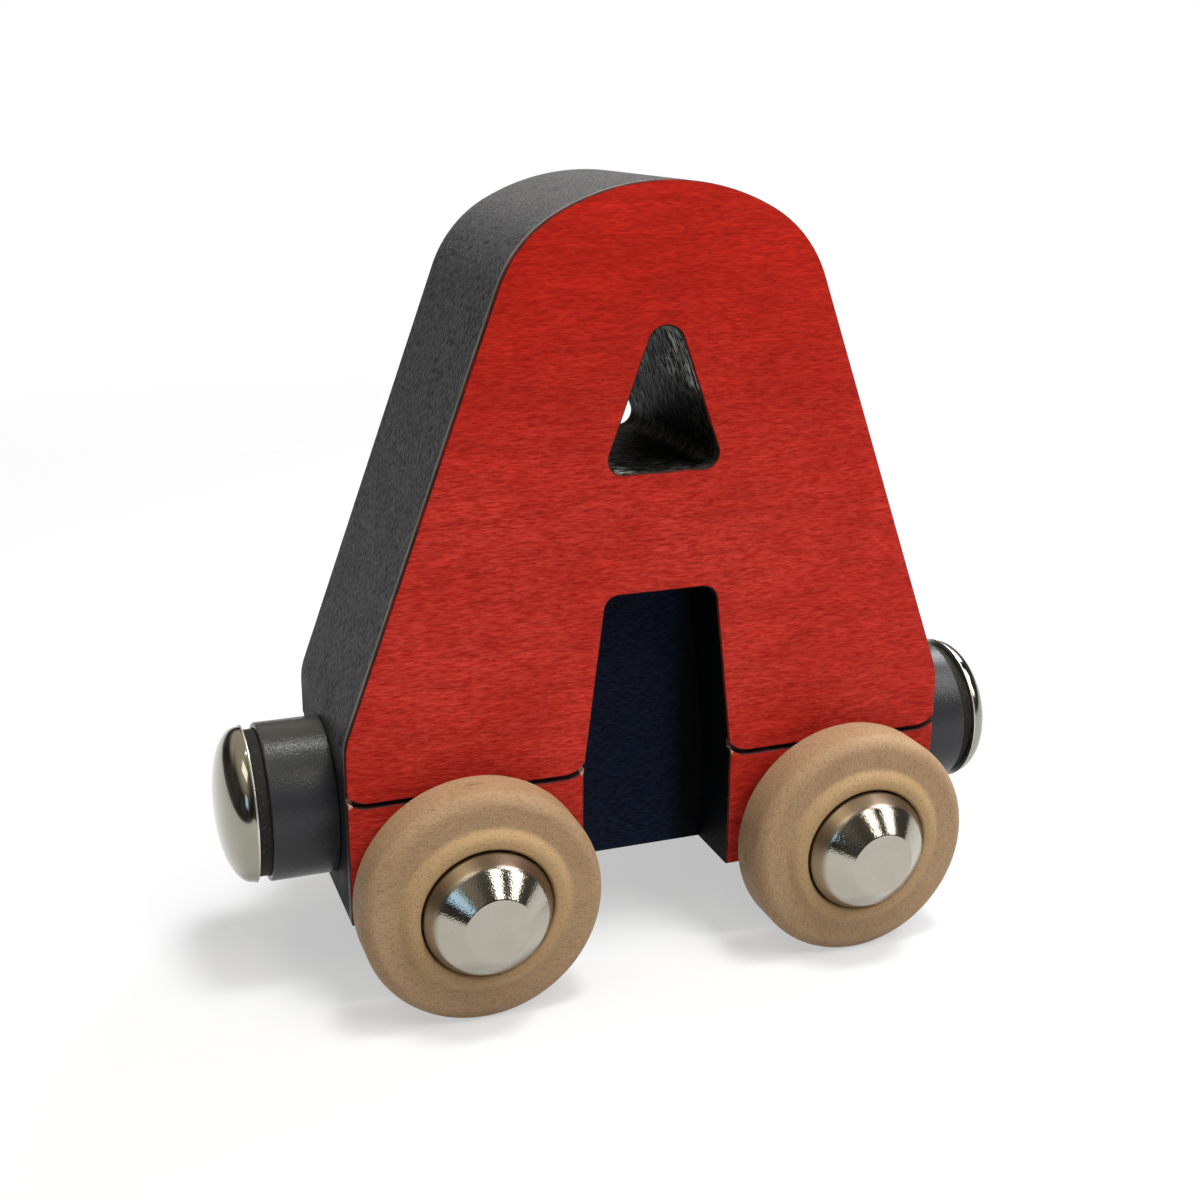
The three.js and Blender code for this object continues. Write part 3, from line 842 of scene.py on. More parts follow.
def worn_edge(finish, block):
    material, tree, shader = new_material("worn_edge", Roughness=0.5)
    where = position(tree)
    clouds = effect(tree, "soft_clouds", where, Size=420.0)["Clouds"]
    grain = effect(tree, "wood_fibres", where, Stretch=(2500, 2500, 1400), Softness=0.2)["Fibres"]
    patches = ramp(tree, clouds, low=0.1, high=0.8, to_low=0.25)
    fold = BLOCK_LOW.z + block.end_height
    height = coordinate(tree, where, "Z")
    above = ramp(tree, height, low=fold - WEAR_BELOW_FOLD, high=fold + WEAR_ABOVE_FOLD, to_low=0.12)
    rubbed = times(tree, times(tree, patches, ramp(tree, grain, to_low=0.5)), above)
    colour = blend_colour(tree, rubbed, finish.charcoal, finish.edge_worn)
    # Painted shade beside the couplers, laid over the worn edge.
    feed(tree, shader["Base Color"], shade_beside_couplers(tree, where, colour, finish, block))
    return material


def charcoal_paint(finish, block):
    material, tree, shader = new_material("charcoal_paint", Specular_IOR_Level=0.02)
    where = position(tree)
    grain = effect(tree, "wood_fibres", where, Stretch=(4300, 4700, 1800), Softness=0.16)["Fibres"]
    coarse = effect(tree, "wood_fibres", where, Stretch=(700, 420, 260), Softness=0.4)["Fibres"]
    pores = effect(tree, "wood_pores", where, Stretch=(4200, 3600, 1200), Share=0.35, Size=0.5)["Pores"]
    colour = blend_colour(tree, grain, finish.charcoal_dark, finish.charcoal)
    rubbed = times(tree, grain, ramp(tree, coarse, low=0.2, to_low=0.2, to_high=0.45))
    colour = blend_colour(tree, rubbed, colour, finish.charcoal_pale)
    # Painted sheen: up-facing surfaces turn towards the pale colour, as light from above makes them.
    worn = times(tree, ramp(tree, facing_up(tree), low=0.55), ramp(tree, grain, to_low=0.35))
    colour = blend_colour(tree, thinned(tree, worn, share=0.7), colour, finish.charcoal_pale)
    colour = blend_colour(tree, thinned(tree, pores, share=0.3), colour, finish.charcoal_dark)
    # Painted shade beside the couplers, laid over the paint.
    feed(tree, shader["Base Color"], shade_beside_couplers(tree, where, colour, finish, block))
    feed(tree, shader["Roughness"], ramp(tree, coarse, to_low=0.52, to_high=0.40))
    relief = sums(tree, "SUBTRACT", grain, pores)
    feed(tree, shader["Normal"], raised(tree, relief, strength=0.5, depth=0.04 * MM))
    return material


def pocket_paint(finish, block):
    """Navy paint with painted shade: it turns black on the pocket's right wall and beside it, where the wall
    keeps the light off.
    """
    material, tree, shader = new_material("pocket_paint", Specular_IOR_Level=0.06)
    where = position(tree)
    grain = effect(tree, "wood_fibres", where, Stretch=(1700, 1700, 5200), Softness=0.3)["Fibres"]
    pores = effect(tree, "wood_pores", where, Stretch=(1800, 1800, 3600), Share=0.3, Size=0.5)["Pores"]
    colour = blend_colour(tree, grain, finish.navy_dark, finish.navy)
    colour = blend_colour(tree, pores, colour, finish.navy_dark)
    # Painted shade: black towards the pocket's right wall.
    wall = block.notch_top_width / 2
    across = coordinate(tree, where, "X")
    pocket_shade = ramp(tree, across, low=wall - POCKET_SHADE_BESIDE_WALL, high=wall + POCKET_SHADE_PAST_WALL, to_high=0.9)
    feed(tree, shader["Base Color"], blend_colour(tree, pocket_shade, colour, finish.counter))
    feed(tree, shader["Roughness"], ramp(tree, grain, to_low=0.66, to_high=0.52))
    feed(tree, shader["Normal"], raised(tree, grain, strength=0.15, depth=0.03 * MM))
    return material


def counter_paint(finish, block):
    """Black paint with pale streaks of raised grain, which also paint highlights: they are kept to the upper
    walls and the left end of the floor, where light falls.
    """
    material, tree, shader = new_material("counter_paint", Specular_IOR_Level=0.04)
    where = position(tree)
    grain = effect(tree, "wood_fibres", where, Stretch=(1000, 3300, 1000), Softness=0.07)["Fibres"]
    clouds = effect(tree, "soft_clouds", where, Size=260.0)["Clouds"]
    broad = effect(tree, "wood_fibres", where, Stretch=(1300, 420, 1300), Softness=0.2)["Fibres"]
    streaks = ramp(tree, grain, low=0.3, high=0.85)
    rubbed = times(tree, streaks, ramp(tree, clouds, low=0.1, high=0.8, to_low=0.3))
    rubbed = times(tree, rubbed, ramp(tree, broad, to_low=0.35))
    # Painted highlight: a slant towards the lit corner keeps the pale streaks where light falls.
    from_floor = vector_sums(tree, "SUBTRACT", where, (0, 0, BLOCK_LOW.z + block.counter_floor))
    slant = (2 / block.counter_width, 0, -COUNTER_LIGHT_SLANT / block.counter_peak)
    to_corner = vector_sums(tree, "DOT_PRODUCT", from_floor, slant, "Value")
    rubbed = times(tree, rubbed, ramp(tree, to_corner, low=-0.35, high=-0.85, to_low=0.06))
    feed(tree, shader["Base Color"], blend_colour(tree, rubbed, finish.counter, finish.counter_pale))
    feed(tree, shader["Roughness"], ramp(tree, grain, to_low=0.6, to_high=0.42))
    feed(tree, shader["Normal"], raised(tree, grain, strength=0.5, depth=0.05 * MM))
    return material


def groove_stain(finish, block):
    material, tree, shader = new_material("groove_stain", Roughness=0.7)
    where = position(tree)
    clouds = effect(tree, "soft_clouds", where, Size=900.0)["Clouds"]
    stained = ramp(tree, clouds, low=0.4, to_high=0.25)
    colour = blend_colour(tree, stained, finish.groove, finish.red_pore)
    bare = bare_spots(tree, where, block)
    feed(tree, shader["Base Color"], blend_colour(tree, bare, colour, finish.bare_wood))
    return material


def turned_maple(finish):
    material, tree, shader = new_material("turned_maple", Specular_IOR_Level=0.2)
    where = position(tree)
    grain = effect(tree, "wood_fibres", where, Stretch=(1700, 2600, 5600), Softness=0.22)["Fibres"]
    specks = effect(tree, "wood_pores", where, Stretch=(5200, 5200, 6400), Share=0.55, Size=0.55)["Pores"]
    flecks = effect(tree, "wood_pores", where, Stretch=(260, 900, 3200), Share=0.09, Size=0.3)["Pores"]
    clouds = effect(tree, "soft_clouds", where, Size=130.0)["Clouds"]
    bands = effect(tree, "wood_fibres", where, Stretch=(60, 150, 420), Softness=0.3)["Fibres"]
    light = ramp(tree, grain, to_low=0.40, to_high=0.80)
    light = sums(tree, "ADD", light, ramp(tree, clouds, to_low=-0.1, to_high=0.15))
    light = sums(tree, "ADD", light, ramp(tree, bands, to_low=-0.12, to_high=0.10))
    colour = blend_colour(tree, light, finish.maple_dark, finish.maple)
    hub = ramp(tree, from_axis(tree, where), low=HUB_OUTER, high=HUB_INNER, to_high=0.75)
    colour = blend_colour(tree, hub, colour, finish.maple_hub)
    marks = sums(tree, "MAXIMUM", thinned(tree, specks, share=0.7), thinned(tree, flecks, share=0.6))
    feed(tree, shader["Base Color"], blend_colour(tree, marks, colour, finish.maple_pore))
    feed(tree, shader["Roughness"], ramp(tree, grain, to_low=0.62, to_high=0.5))
    relief = sums(tree, "SUBTRACT", grain, marks)
    feed(tree, shader["Normal"], raised(tree, relief, strength=0.3, depth=0.03 * MM))
    return material


def nickel_plate(name, plating, finish, smooth_side, rough_side, grit, brown_band_start):
    """Nickel plating with faint stains, fine pits, a painted highlight along the rim, strongest where it
    faces up, and a grit that breaks up its highlights.
    """
    material, tree, shader = new_material(name, Metallic=1.0)
    where = position(tree)
    clouds = effect(tree, "soft_clouds", where, Size=420.0)["Clouds"]
    pits = effect(tree, "wood_pores", where, Stretch=(3400, 3400, 3400), Share=0.22, Size=0.45)["Pores"]
    stained = sums(tree, "ADD", thinned(tree, pits, share=0.2), thinned(tree, clouds, share=0.12))
    colour = blend_colour(tree, stained, plating, finish.nickel_pit)
    # A brown, rougher band round the edge, outwards from its start.
    brown_band = ramp(tree, from_axis(tree, where), low=brown_band_start, high=brown_band_start + BROWN_BAND_WIDTH)
    colour = blend_colour(tree, brown_band, colour, finish.nickel_brown_band)
    # Painted highlight: a bright line along the rim, stronger on its upper side.
    rim = ramp(tree, coordinate(tree, where, "Y"), low=RIM_END, high=RIM_START)
    rim = times(tree, rim, ramp(tree, facing_up(tree), low=-0.5, high=0.4, to_low=0.1))
    feed(tree, shader["Base Color"], blend_colour(tree, rim, colour, finish.nickel_rim_highlight))
    roughness = ramp(tree, clouds, to_low=smooth_side, to_high=rough_side)
    roughness = sums(tree, "MULTIPLY_ADD", brown_band, BROWN_BAND_ROUGHNESS, roughness)
    feed(tree, shader["Roughness"], sums(tree, "MULTIPLY_ADD", rim, RIM_ROUGHNESS, roughness))
    relief = sums(tree, "SUBTRACT", grains(tree, where, NICKEL_GRIT), thinned(tree, pits, share=0.4))
    feed(tree, shader["Normal"], raised(tree, relief, strength=grit, depth=0.011 * MM))
    return material


def satin_nickel(finish):
    return nickel_plate(
        "satin_nickel", finish.nickel, finish,
        smooth_side=0.09, rough_side=0.13, grit=0.9, brown_band_start=CAP_BROWN_BAND,
    )


def mirror_nickel(finish):
    return nickel_plate(
        "mirror_nickel", finish.shaded_dome_nickel, finish,
        smooth_side=0.08, rough_side=0.13, grit=0.12, brown_band_start=NO_BROWN_BAND,
    )


def sleeve_charcoal(finish):
    material, tree, shader = new_material("sleeve_charcoal", Specular_IOR_Level=0.26)
    where = position(tree)
    specks = effect(tree, "wood_pores", where, Stretch=(3000, 2400, 3000), Share=0.5, Size=0.5)["Pores"]
    clouds = effect(tree, "soft_clouds", where, Size=240.0)["Clouds"]
    colour = blend_colour(tree, ramp(tree, clouds, to_high=0.35), finish.sleeve, finish.charcoal_dark)
    # Painted light: the up-facing side of the sleeve is lighter, as light from above makes it.
    painted_lit_top = ramp(tree, facing_up(tree), low=0.35, high=0.95)
    colour = blend_colour(tree, painted_lit_top, colour, finish.sleeve_top)
    colour = blend_colour(tree, thinned(tree, specks, share=0.3), colour, finish.charcoal_dark)
    feed(tree, shader["Base Color"], colour)
    feed(tree, shader["Roughness"], ramp(tree, clouds, to_low=0.21, to_high=0.28))
    grit = grains(tree, where, SLEEVE_GRIT)
    feed(tree, shader["Normal"], raised(tree, grit, strength=0.8, depth=0.034 * MM))
    return material


def pressed_ferrite(finish):
    material, tree, shader = new_material("pressed_ferrite", Roughness=0.6, Specular_IOR_Level=0.15)
    where = position(tree)
    specks = effect(tree, "wood_pores", where, Stretch=(3600, 3600, 3600), Share=0.3, Size=0.5)["Pores"]
    colour = blend_colour(tree, thinned(tree, specks, share=0.5), finish.ferrite, finish.charcoal)
    feed(tree, shader["Base Color"], colour)
    feed(tree, shader["Normal"], raised(tree, specks, strength=0.2, depth=0.03 * MM))
    return material


def drawn_steel(finish):
    material, tree, shader = new_material("drawn_steel", Metallic=1.0)
    lines = effect(tree, "wood_fibres", position(tree), Stretch=(5200, 300, 5200), Softness=0.25)
    colour = blend_colour(tree, lines["Drift"], finish.steel, finish.steel_dark)
    feed(tree, shader["Base Color"], colour)
    feed(tree, shader["Roughness"], ramp(tree, lines["Fibres"], to_low=0.28, to_high=0.42))
    return material


BLOCK_FINISH_MAKERS = {
    "red_stain": red_stain,
    "worn_edge": worn_edge,
    "charcoal_paint": charcoal_paint,
    "pocket_paint": pocket_paint,
    "counter_paint": counter_paint,
    "groove_stain": groove_stain,
}
FINISH_MAKERS = {
    "edge_line": edge_line,
    "turned_maple": turned_maple,
    "satin_nickel": satin_nickel,
    "mirror_nickel": mirror_nickel,
    "sleeve_charcoal": sleeve_charcoal,
    "pressed_ferrite": pressed_ferrite,
    "drawn_steel": drawn_steel,
}


def finish_named(name, context):
    """A finish by its name, made when it is first asked for."""
    made = bpy.data.materials.get(name)
    if made is not None:
        return made
    if name in BLOCK_FINISH_MAKERS:
        return BLOCK_FINISH_MAKERS[name](context.scene.letter_finish, context.scene.letter_block)
    return FINISH_MAKERS[name](context.scene.letter_finish)


# Operators

class LETTERCAR_OT_letter_block(bpy.types.Operator):
    """Build the letter block with its pockets, counter and foot lines"""

    bl_idname = "letter_car.letter_block"
    bl_label = "Letter block"

    FINISHES = (
        "red_stain", "edge_line", "worn_edge", "charcoal_paint",
        "pocket_paint", "counter_paint", "groove_stain",
    )
    RED, LINE, WORN, CHARCOAL = range(4)

    def uncut(self, block, finishes):
        """The whole block, with eased edges, dark edge lines and a worn line beside the front one."""
        outline = letter_outline(block)
        loops = []
        for i in range(EASE_STEPS + 1):
            angle = math.pi / 2 * i / EASE_STEPS
            inset = block.edge_ease * (1 - math.sin(angle))
            depth = block.edge_ease * (1 - math.cos(angle))
            loops.append(standing(moved_out(outline, -inset), BLOCK_LOW.y + depth))
        line_end = BLOCK_LOW.y + block.edge_ease + block.edge_line_width
        loops.append(standing(outline, line_end))
        loops.append(standing(outline, line_end + block.edge_worn_width))
        mirrored = [[Vector((p.x, -p.y, p.z)) for p in loop] for loop in reversed(loops)]
        front_bands = (self.RED, *[self.LINE] * EASE_STEPS, self.WORN)
        back_bands = (self.RED, *[self.LINE] * (EASE_STEPS - 1), self.CHARCOAL, self.CHARCOAL)
        slots = (self.RED, *front_bands, self.CHARCOAL, *reversed(back_bands), self.RED)
        return lofted("letter_block", loops + mirrored, slots, finishes.values())

    def openings(self, block, finishes):
        """Cutters for the counter, the pockets and the foot lines."""
        line, pocket, groove = finishes["edge_line"], finishes["pocket_paint"], finishes["groove_stain"]
        cutters = [
            through_cutter(
                "counter_cut", counter_outline(block), block.mouth_ease, block.counter_back_ease,
                finishes["counter_paint"], line,
            )
        ]
        for face_name, face in FACES:
            notch = notch_outline(block)
            name = f"pocket_{face_name}"
            cutters.append(face_cutter(name, notch, face, block.pocket_depth, block.mouth_ease, pocket, line))
            depth = block.foot_line_depth
            for side_name, side in SIDES:
                band = foot_line_outline(block, side)
                name = f"foot_line_{face_name}_{side_name}"
                cutters.append(face_cutter(name, band, face, depth, FOOT_LINE_EASE, groove, groove))
        return cutters

    def holes(self, bore_radius, nail_radius, charcoal):
        """Cutters for the axles' bores and the nails' holes."""
        cutters = []
        across = Vector((0, BLOCK_HIGH.y + CUT_MARGIN, 0))
        for side_name, side in SIDES:
            axle = middle(*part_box(f"axle_{side_name}"))
            ends = axle - across, axle + across
            cutters.append(rod_cutter(f"bore_{side_name}", *ends, bore_radius, charcoal))
            nail_low, nail_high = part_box(f"coupler_nail_{side_name}")
            nail = middle(nail_low, nail_high)
            point = nail_low.x if side > 0 else nail_high.x
            start = Vector((point, nail.y, nail.z))
            end = Vector((side * (BLOCK_HIGH.x + CUT_MARGIN), nail.y, nail.z))
            cutters.append(rod_cutter(f"hole_{side_name}", start, end, nail_radius, charcoal))
        return cutters

    def execute(self, context):
        scene = context.scene
        finishes = {name: finish_named(name, context) for name in self.FINISHES}
        built = self.uncut(scene.letter_block, finishes)
        cutters = self.openings(scene.letter_block, finishes)
        cutters += self.holes(
            scene.letter_wheels.bore_radius, scene.letter_couplers.hole_radius, finishes["charcoal_paint"]
        )
        cut_away(built, cutters)
        smooth(built)
        set_in_frame(built, "letter_body")
        return {"FINISHED"}


class LETTERCAR_OT_wheels(bpy.types.Operator):
    """Build the turned maple wheels"""

    bl_idname = "letter_car.wheels"
    bl_label = "Wheels"

    GRAIN_TURN = {"front_left": 0, "front_right": 90, "back_left": 270, "back_right": 180}

    def profile(self, wheel):
        radius = (WHEEL_HIGH.x - WHEEL_LOW.x) / 2
        top = WHEEL_HIGH.y - WHEEL_LOW.y
        face = wheel.boss_height + wheel.rim_width
        floor = top - wheel.recess_depth
        return rounded([
            (wheel.bore_radius, 0, 0),
            (wheel.boss_radius, 0, BOSS_EASE),
            (wheel.boss_radius, wheel.boss_height, 0),
            (radius, wheel.boss_height, wheel.back_ease),
            (radius, face, wheel.front_round),
            (wheel.ring_radius + wheel.ring_slope, face, wheel.ring_cove),
            (wheel.ring_radius, top, wheel.ring_round),
            (wheel.recess_radius, top, wheel.recess_ease),
            (wheel.recess_radius, floor, 0),
            (wheel.bore_radius, floor, 0),
        ])

    def execute(self, context):
        profile = self.profile(context.scene.letter_wheels)
        maple = finish_named("turned_maple", context)
        for place, face in WHEEL_PLACES:
            built = turned(f"maple_wheel_{place}", profile, True, [maple])
            grain = Matrix.Rotation(math.radians(self.GRAIN_TURN[place]), 4, "Y")
            built.matrix_world = beside_face(f"wheel_{place}", face) @ grain
            set_in_frame(built, f"wheel_{place}")
        return {"FINISHED"}


class LETTERCAR_OT_hub_caps(bpy.types.Operator):
    """Build the nickel hub caps"""

    bl_idname = "letter_car.hub_caps"
    bl_label = "Hub caps"

    def profile(self, wheel):
        radius = (CAP_HIGH.x - CAP_LOW.x) / 2 + wheel.cap_fit
        height = CAP_HIGH.y - CAP_LOW.y
        socket = (AXLE_HIGH.x - AXLE_LOW.x) / 2 + AXLE_CLEARANCE
        return rounded([
            (0, wheel.cap_socket, 0),
            (socket, wheel.cap_socket, 0),
            (socket, 0, 0),
            (socket + wheel.cap_wall, 0, 0),
            (socket + wheel.cap_wall, wheel.cap_cavity, 0),
            (radius - wheel.cap_wall, wheel.cap_cavity, 0),
            (radius - wheel.cap_wall, 0, 0),
            (radius, 0, 0),
            (radius, wheel.cap_skirt_height, wheel.cap_skirt_round),
            (wheel.cap_shoulder_radius, wheel.cap_shoulder_height, wheel.cap_shoulder_round),
            (wheel.cap_top_radius, height, wheel.cap_top_round),
            (0, height, 0),
        ], CAP_STEP)

    def execute(self, context):
        profile = self.profile(context.scene.letter_wheels)
        nickel = finish_named("satin_nickel", context)
        for place, face in WHEEL_PLACES:
            built = turned(f"nickel_cap_{place}", profile, False, [nickel])
            built.matrix_world = beside_face(f"hub_cap_{place}", face)
            set_in_frame(built, f"hub_cap_{place}")
        return {"FINISHED"}


class LETTERCAR_OT_couplers(bpy.types.Operator):
    """Build the sleeves, magnets and domes of both couplers"""

    bl_idname = "letter_car.couplers"
    bl_label = "Couplers"

    def sleeve_profile(self, coupler):
        radius = (SLEEVE_HIGH.z - SLEEVE_LOW.z) / 2
        length = SLEEVE_HIGH.x - SLEEVE_LOW.x
        bore = radius - coupler.sleeve_wall
        return rounded([
            (coupler.hole_radius, 0, 0),
            (radius, 0, SLEEVE_EDGE_EASE),
            (radius, length, coupler.sleeve_ease),
            (bore, length, SLEEVE_EDGE_EASE),
            (bore, coupler.sleeve_floor, 0),
            (coupler.hole_radius, coupler.sleeve_floor, 0),
        ])

    def magnet_profile(self, coupler):
        radius = (MAGNET_HIGH.z - MAGNET_LOW.z) / 2
        length = MAGNET_HIGH.x - MAGNET_LOW.x
        return rounded([
            (coupler.hole_radius, 0, 0),
            (radius, 0, 0),
            (radius, length, coupler.magnet_ease),
            (coupler.hole_radius, length, 0),
        ])

    def dome_curve(self, radius, height, fullness):
        """Quarter of a full-shouldered ellipse, from the rim to the tip."""
        points = []
        for i in range(DOME_STEPS + 1):
            angle = math.pi / 2 * i / DOME_STEPS
            across = math.cos(angle) ** (2 / fullness) if i < DOME_STEPS else 0
            points.append((radius * across, height * math.sin(angle) ** (2 / fullness)))
        return points

    def dome_profile(self, coupler):
        radius = (DOME_HIGH.z - DOME_LOW.z) / 2
        height = DOME_HIGH.x - DOME_LOW.x
        wall, lip, fullness = coupler.dome_wall, coupler.dome_lip, coupler.dome_fullness
        lip_edge = lip / 3
        inside = self.dome_curve(radius - wall, height - wall, fullness)
        shell = self.dome_curve(radius - coupler.dome_flare, height - lip, fullness)
        outside = [(r, along + lip) for r, along in shell]
        return [*reversed(inside), (radius, 0), (radius, lip_edge), *outside]

    def execute(self, context):
        coupler = context.scene.letter_couplers
        kinds = (
            ("sleeve", self.sleeve_profile(coupler), True, "sleeve_charcoal", "charcoal_sleeve"),
            ("magnet", self.magnet_profile(coupler), True, "pressed_ferrite", "ferrite"),
            ("dome", self.dome_profile(coupler), False, "mirror_nickel", "bright_nickel"),
        )
        for side_name, side in SIDES:
            for kind, profile, closed, finish, slot in kinds:
                name = f"coupler_{kind}_{side_name}"
                low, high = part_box(name)
                built = turned(f"turned_{kind}_{side_name}", profile, closed, [finish_named(finish, context)])
                seat = middle(low, high)
                seat.x = low.x if side > 0 else high.x
                outwards = Matrix.Rotation(-side * math.pi / 2, 4, "Z")
                built.matrix_world = Matrix.Translation(seat) @ outwards
                set_in_frame(built, name)
        return {"FINISHED"}


class LETTERCAR_OT_hidden_steel(bpy.types.Operator):
    """Finish the axles and the couplers' nails"""

    bl_idname = "letter_car.hidden_steel"
    bl_label = "Axles and nails"

    def execute(self, context):
        steel = finish_named("drawn_steel", context)
        for side_name, _ in SIDES:
            for name in (f"axle_{side_name}", f"coupler_nail_{side_name}"):
                mesh = frame["nodes"][name].data
                mesh.materials.clear()
                mesh.materials.append(steel)
        return {"FINISHED"}


class LETTERCAR_OT_stage(bpy.types.Operator):
    """Set up the floor, the lights and the camera"""

    bl_idname = "letter_car.stage"
    bl_label = "Stage"

    FLOOR_FACETS = 96
    FLOOR_DROP = 0.02 * MM
    ROOM_RADIUS = 0.6
    ROOM_WALL = 0.99
    ROOM_FACETS = 72
    ROOM_LOW = math.radians(2)
    ROOM_LEAN = math.radians(-3)
    ROOM_CLOUDS = 3.5
    ROOM_LIT_SIDE = (-0.8, 0.6, 0)
    TABLE = ((-0.6, -0.6), (-0.115, 0.6))
    TABLE_THICKNESS = 0.1 * MM
    HIDDEN_FROM = ("camera", "diffuse", "transmission", "volume_scatter", "shadow")
    CAMERA_NEAR, CAMERA_FAR = 0.005, 10

    WHITE, WARM, COOL = (1.0, 1.0, 1.0), (1.0, 0.95, 0.87), (0.42, 0.70, 1.0)
    VIOLET, PALE_VIOLET = (0.93, 0.90, 1.0), (0.94, 0.92, 1.0)
    KEY_PLACE, KEY_SIZE = (0.30, -0.41, 0.77), (0.5, 0.5)
    # Name, place, size, power in watts, colour, whether reflections show it, whether it lights matt surfaces.
    SMALL_LAMPS = (
        ("strip_overhead", (0.05, -0.08, 0.46), (0.12, 0.09), 1.45, WHITE, False, True),
        ("lamp_back", (0.034, 0.09, 0.455), (0.10, 0.06), 0.42, WHITE, True, False),
        ("strip_front", (0.105, -0.27, 0.327), (0.085, 0.16), 0.25, WARM, True, True),
        ("strip_right", (0.267, -0.189, 0.204), (0.07, 0.09), 0.12, WARM, True, True),
        ("panel_right", (0.26, 0.15, 0.33), (0.16, 0.16), 1.0, PALE_VIOLET, True, True),
        ("panel_sleeve", (0.22, -0.105, 0.297), (0.17, 0.17), 0.48, VIOLET, True, False),
        ("window_left", (-0.248, -0.226, 0.13), (0.10, 0.09), 0.05, COOL, True, False),
        ("lamp_left", (-0.164, -0.094, 0.342), (0.19, 0.14), 0.20, WARM, True, True),
    )

    def floor(self, stage):
        """A pale floor that keeps the shadow and fades out to the white around it."""
        material = bpy.data.materials.new("pale_floor")
        tree = blank_tree(material)
        away = vector_sums(tree, "LENGTH", position(tree), output="Value")
        fade = ramp(tree, away, low=stage.floor_clear, high=stage.floor_end)
        seen = seen_rays(tree)
        colour = blend_colour(tree, seen, stage.floor_bounce, stage.floor_colour)
        matt = node(tree, "ShaderNodeBsdfDiffuse", {"Color": colour})
        glow = node(tree, "ShaderNodeEmission", {"Strength": times(tree, seen, stage.floor_glow)})
        pale = node(tree, "ShaderNodeAddShader", {0: matt.outputs[0], 1: glow.outputs[0]})
        clear = node(tree, "ShaderNodeBsdfTransparent")
        both = node(tree, "ShaderNodeMixShader", {0: fade, 1: pale.outputs[0], 2: clear.outputs[0]})
        node(tree, "ShaderNodeOutputMaterial", {"Surface": both.outputs[0]})
        made = bmesh.new()
        bmesh.ops.create_circle(made, cap_ends=True, segments=self.FLOOR_FACETS, radius=stage.floor_radius)
        built = object_from("floor", made, [material])
        built.location.z = -self.FLOOR_DROP

    def room_finish(self, stage):
        """A dim room, paler high up on its lit side and at the back."""
        material = bpy.data.materials.new("dark_room")
        tree = blank_tree(material)
        where = node(tree, "ShaderNodeNewGeometry").outputs["Position"]
        clouds = effect(tree, "soft_clouds", where, Size=self.ROOM_CLOUDS)["Clouds"]
        colour = blend_colour(tree, clouds, stage.room_dark, stage.room_dim)
        height = coordinate(tree, where, "Z")
        sideways = vector_sums(tree, "DOT_PRODUCT", where, self.ROOM_LIT_SIDE, "Value")
        high_up = ramp(tree, height, low=0.18, high=0.42)
        side = times(tree, ramp(tree, sideways, low=-0.27, high=0.18), high_up)
        depth = coordinate(tree, where, "Y")
        back = times(tree, ramp(tree, depth, low=0.15, high=0.4), ramp(tree, height, low=0.12, high=0.26))
        lit = sums(tree, "MAXIMUM", side, back)
        glow = node(tree, "ShaderNodeEmission", {"Color": blend_colour(tree, lit, colour, stage.room_lit)})
        node(tree, "ShaderNodeOutputMaterial", {"Surface": glow.outputs[0]})
        return material

    def dark_room(self, stage):
        """The unlit room above the floor and a dark table on the left, which only reflections see."""
        material = self.room_finish(stage)
        profile = arc((0, 0), self.ROOM_RADIUS, self.ROOM_LOW, math.pi / 2)
        profile[-1].x = 0
        inner = [point * self.ROOM_WALL for point in reversed(profile)]
        room = turned("dark_room", [*inner, *profile], False, [material], self.ROOM_FACETS)
        lean = Matrix.Rotation(self.ROOM_LEAN, 4, "Y")
        room.matrix_world = lean @ Matrix.Rotation(math.pi / 2, 4, "X")
        (left, near), (right, far) = self.TABLE
        corners = [Vector((x, y, 0.0)) for x, y in ((left, near), (right, near), (right, far), (left, far))]
        top = [corner + Vector((0, 0, self.TABLE_THICKNESS)) for corner in corners]
        table = lofted("dark_table", [corners, top], (0, 0, 0), [material])
        for built in (room, table):
            for ray in self.HIDDEN_FROM:
                setattr(built, f"visible_{ray}", False)

    def lamp(self, name, place, size, power, colour, in_reflections, lights_matt):
        """An area lamp that faces the middle of the car and that the camera doesn't see."""
        light = bpy.data.lights.new(name, "AREA")
        light.shape = "RECTANGLE"
        light.size, light.size_y = size
        light.energy = power
        light.color = colour
        built = bpy.data.objects.new(name, light)
        built.location = place
        built.rotation_euler = (middle(*CAD_BOX) - Vector(place)).to_track_quat("-Z", "Y").to_euler()
        built.visible_glossy = in_reflections
        built.visible_diffuse = lights_matt
        built.visible_camera = False
        bpy.context.scene.collection.objects.link(built)

    def lamps(self, stage):
        self.lamp("overhead", self.KEY_PLACE, self.KEY_SIZE, stage.key_power, self.WHITE, False, True)
        for values in self.SMALL_LAMPS:
            self.lamp(*values)

    def world(self, stage):
        world = bpy.data.worlds.new("white_studio")
        tree = blank_tree(world)
        around = node(tree, "ShaderNodeBackground", {"Color": self.WHITE, "Strength": stage.ambient})
        behind = node(tree, "ShaderNodeBackground", {"Color": self.WHITE, "Strength": 1.0})
        shown = {0: seen_rays(tree), 1: around.outputs[0], 2: behind.outputs[0]}
        both = node(tree, "ShaderNodeMixShader", shown)
        node(tree, "ShaderNodeOutputWorld", {"Surface": both.outputs[0]})
        bpy.context.scene.world = world

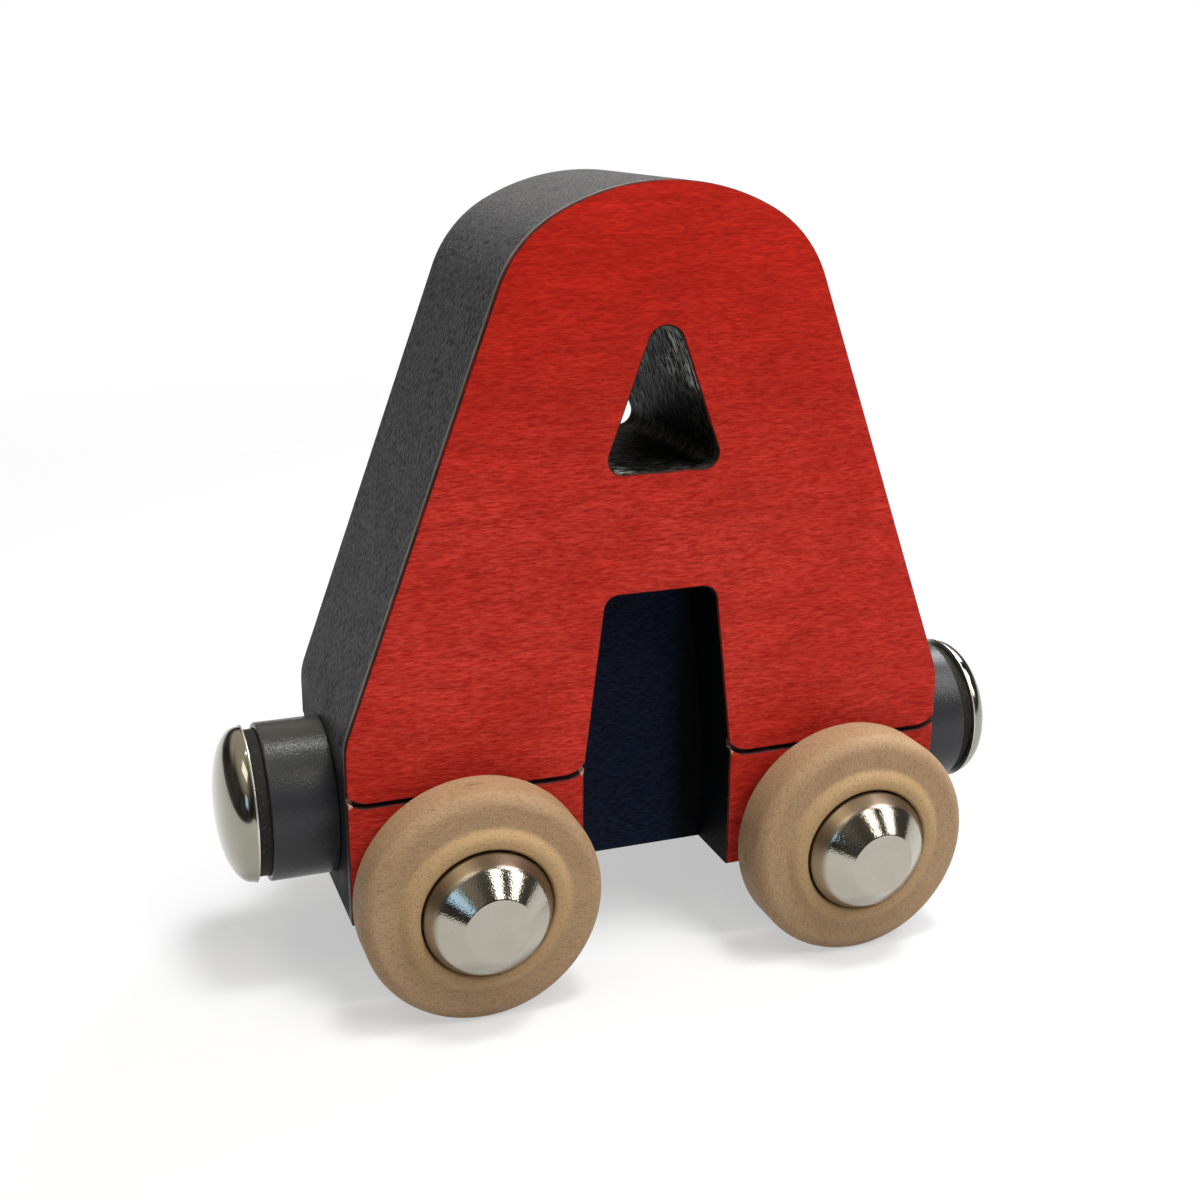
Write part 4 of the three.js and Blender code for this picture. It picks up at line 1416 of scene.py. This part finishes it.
    def camera(self, stage):
        lens = bpy.data.cameras.new("photo_camera")
        lens.lens = stage.camera_lens
        lens.shift_x = stage.camera_shift
        lens.clip_start, lens.clip_end = self.CAMERA_NEAR, self.CAMERA_FAR
        built = bpy.data.objects.new("photo_camera", lens)
        built.location = stage.camera_place
        built.rotation_euler = stage.camera_turn
        bpy.context.scene.collection.objects.link(built)
        bpy.context.scene.camera = built

    def execute(self, context):
        stage = context.scene.letter_stage
        context.scene.view_settings.view_transform = "Standard"
        self.camera(stage)
        self.floor(stage)
        self.dark_room(stage)
        self.lamps(stage)
        self.world(stage)
        return {"FINISHED"}


OPERATORS = (
    LETTERCAR_OT_stage,
    LETTERCAR_OT_letter_block,
    LETTERCAR_OT_wheels,
    LETTERCAR_OT_hub_caps,
    LETTERCAR_OT_couplers,
    LETTERCAR_OT_hidden_steel,
)


class LETTERCAR_PT_panel(bpy.types.Panel):
    """Lists the car's pieces and their settings"""

    bl_idname = "LETTERCAR_PT_panel"
    bl_label = "Letter Train Car"
    bl_space_type = "VIEW_3D"
    bl_region_type = "UI"
    bl_category = "Letter Car"

    def draw(self, context):
        for operator in OPERATORS:
            self.layout.operator(operator.bl_idname)
        for name, settings in SETTINGS.items():
            box = self.layout.box()
            box.label(text=settings.__name__)
            for field in settings.__annotations__:
                box.prop(getattr(context.scene, name), field)


SETTINGS = {
    "letter_block": LetterBlockSettings,
    "letter_wheels": WheelSettings,
    "letter_couplers": CouplerSettings,
    "letter_finish": FinishSettings,
    "letter_stage": StageSettings,
}


def register():
    for kind in (*SETTINGS.values(), *OPERATORS, LETTERCAR_PT_panel):
        bpy.utils.register_class(kind)
    for name, settings in SETTINGS.items():
        setattr(bpy.types.Scene, name, bpy.props.PointerProperty(type=settings))


def unregister():
    for name in SETTINGS:
        delattr(bpy.types.Scene, name)
    for kind in reversed((*SETTINGS.values(), *OPERATORS, LETTERCAR_PT_panel)):
        bpy.utils.unregister_class(kind)


def main():
    register()
    bpy.ops.letter_car.stage()
    bpy.ops.letter_car.letter_block()
    bpy.ops.letter_car.wheels()
    bpy.ops.letter_car.hub_caps()
    bpy.ops.letter_car.couplers()
    bpy.ops.letter_car.hidden_steel()


if __name__ == "__main__":
    main()
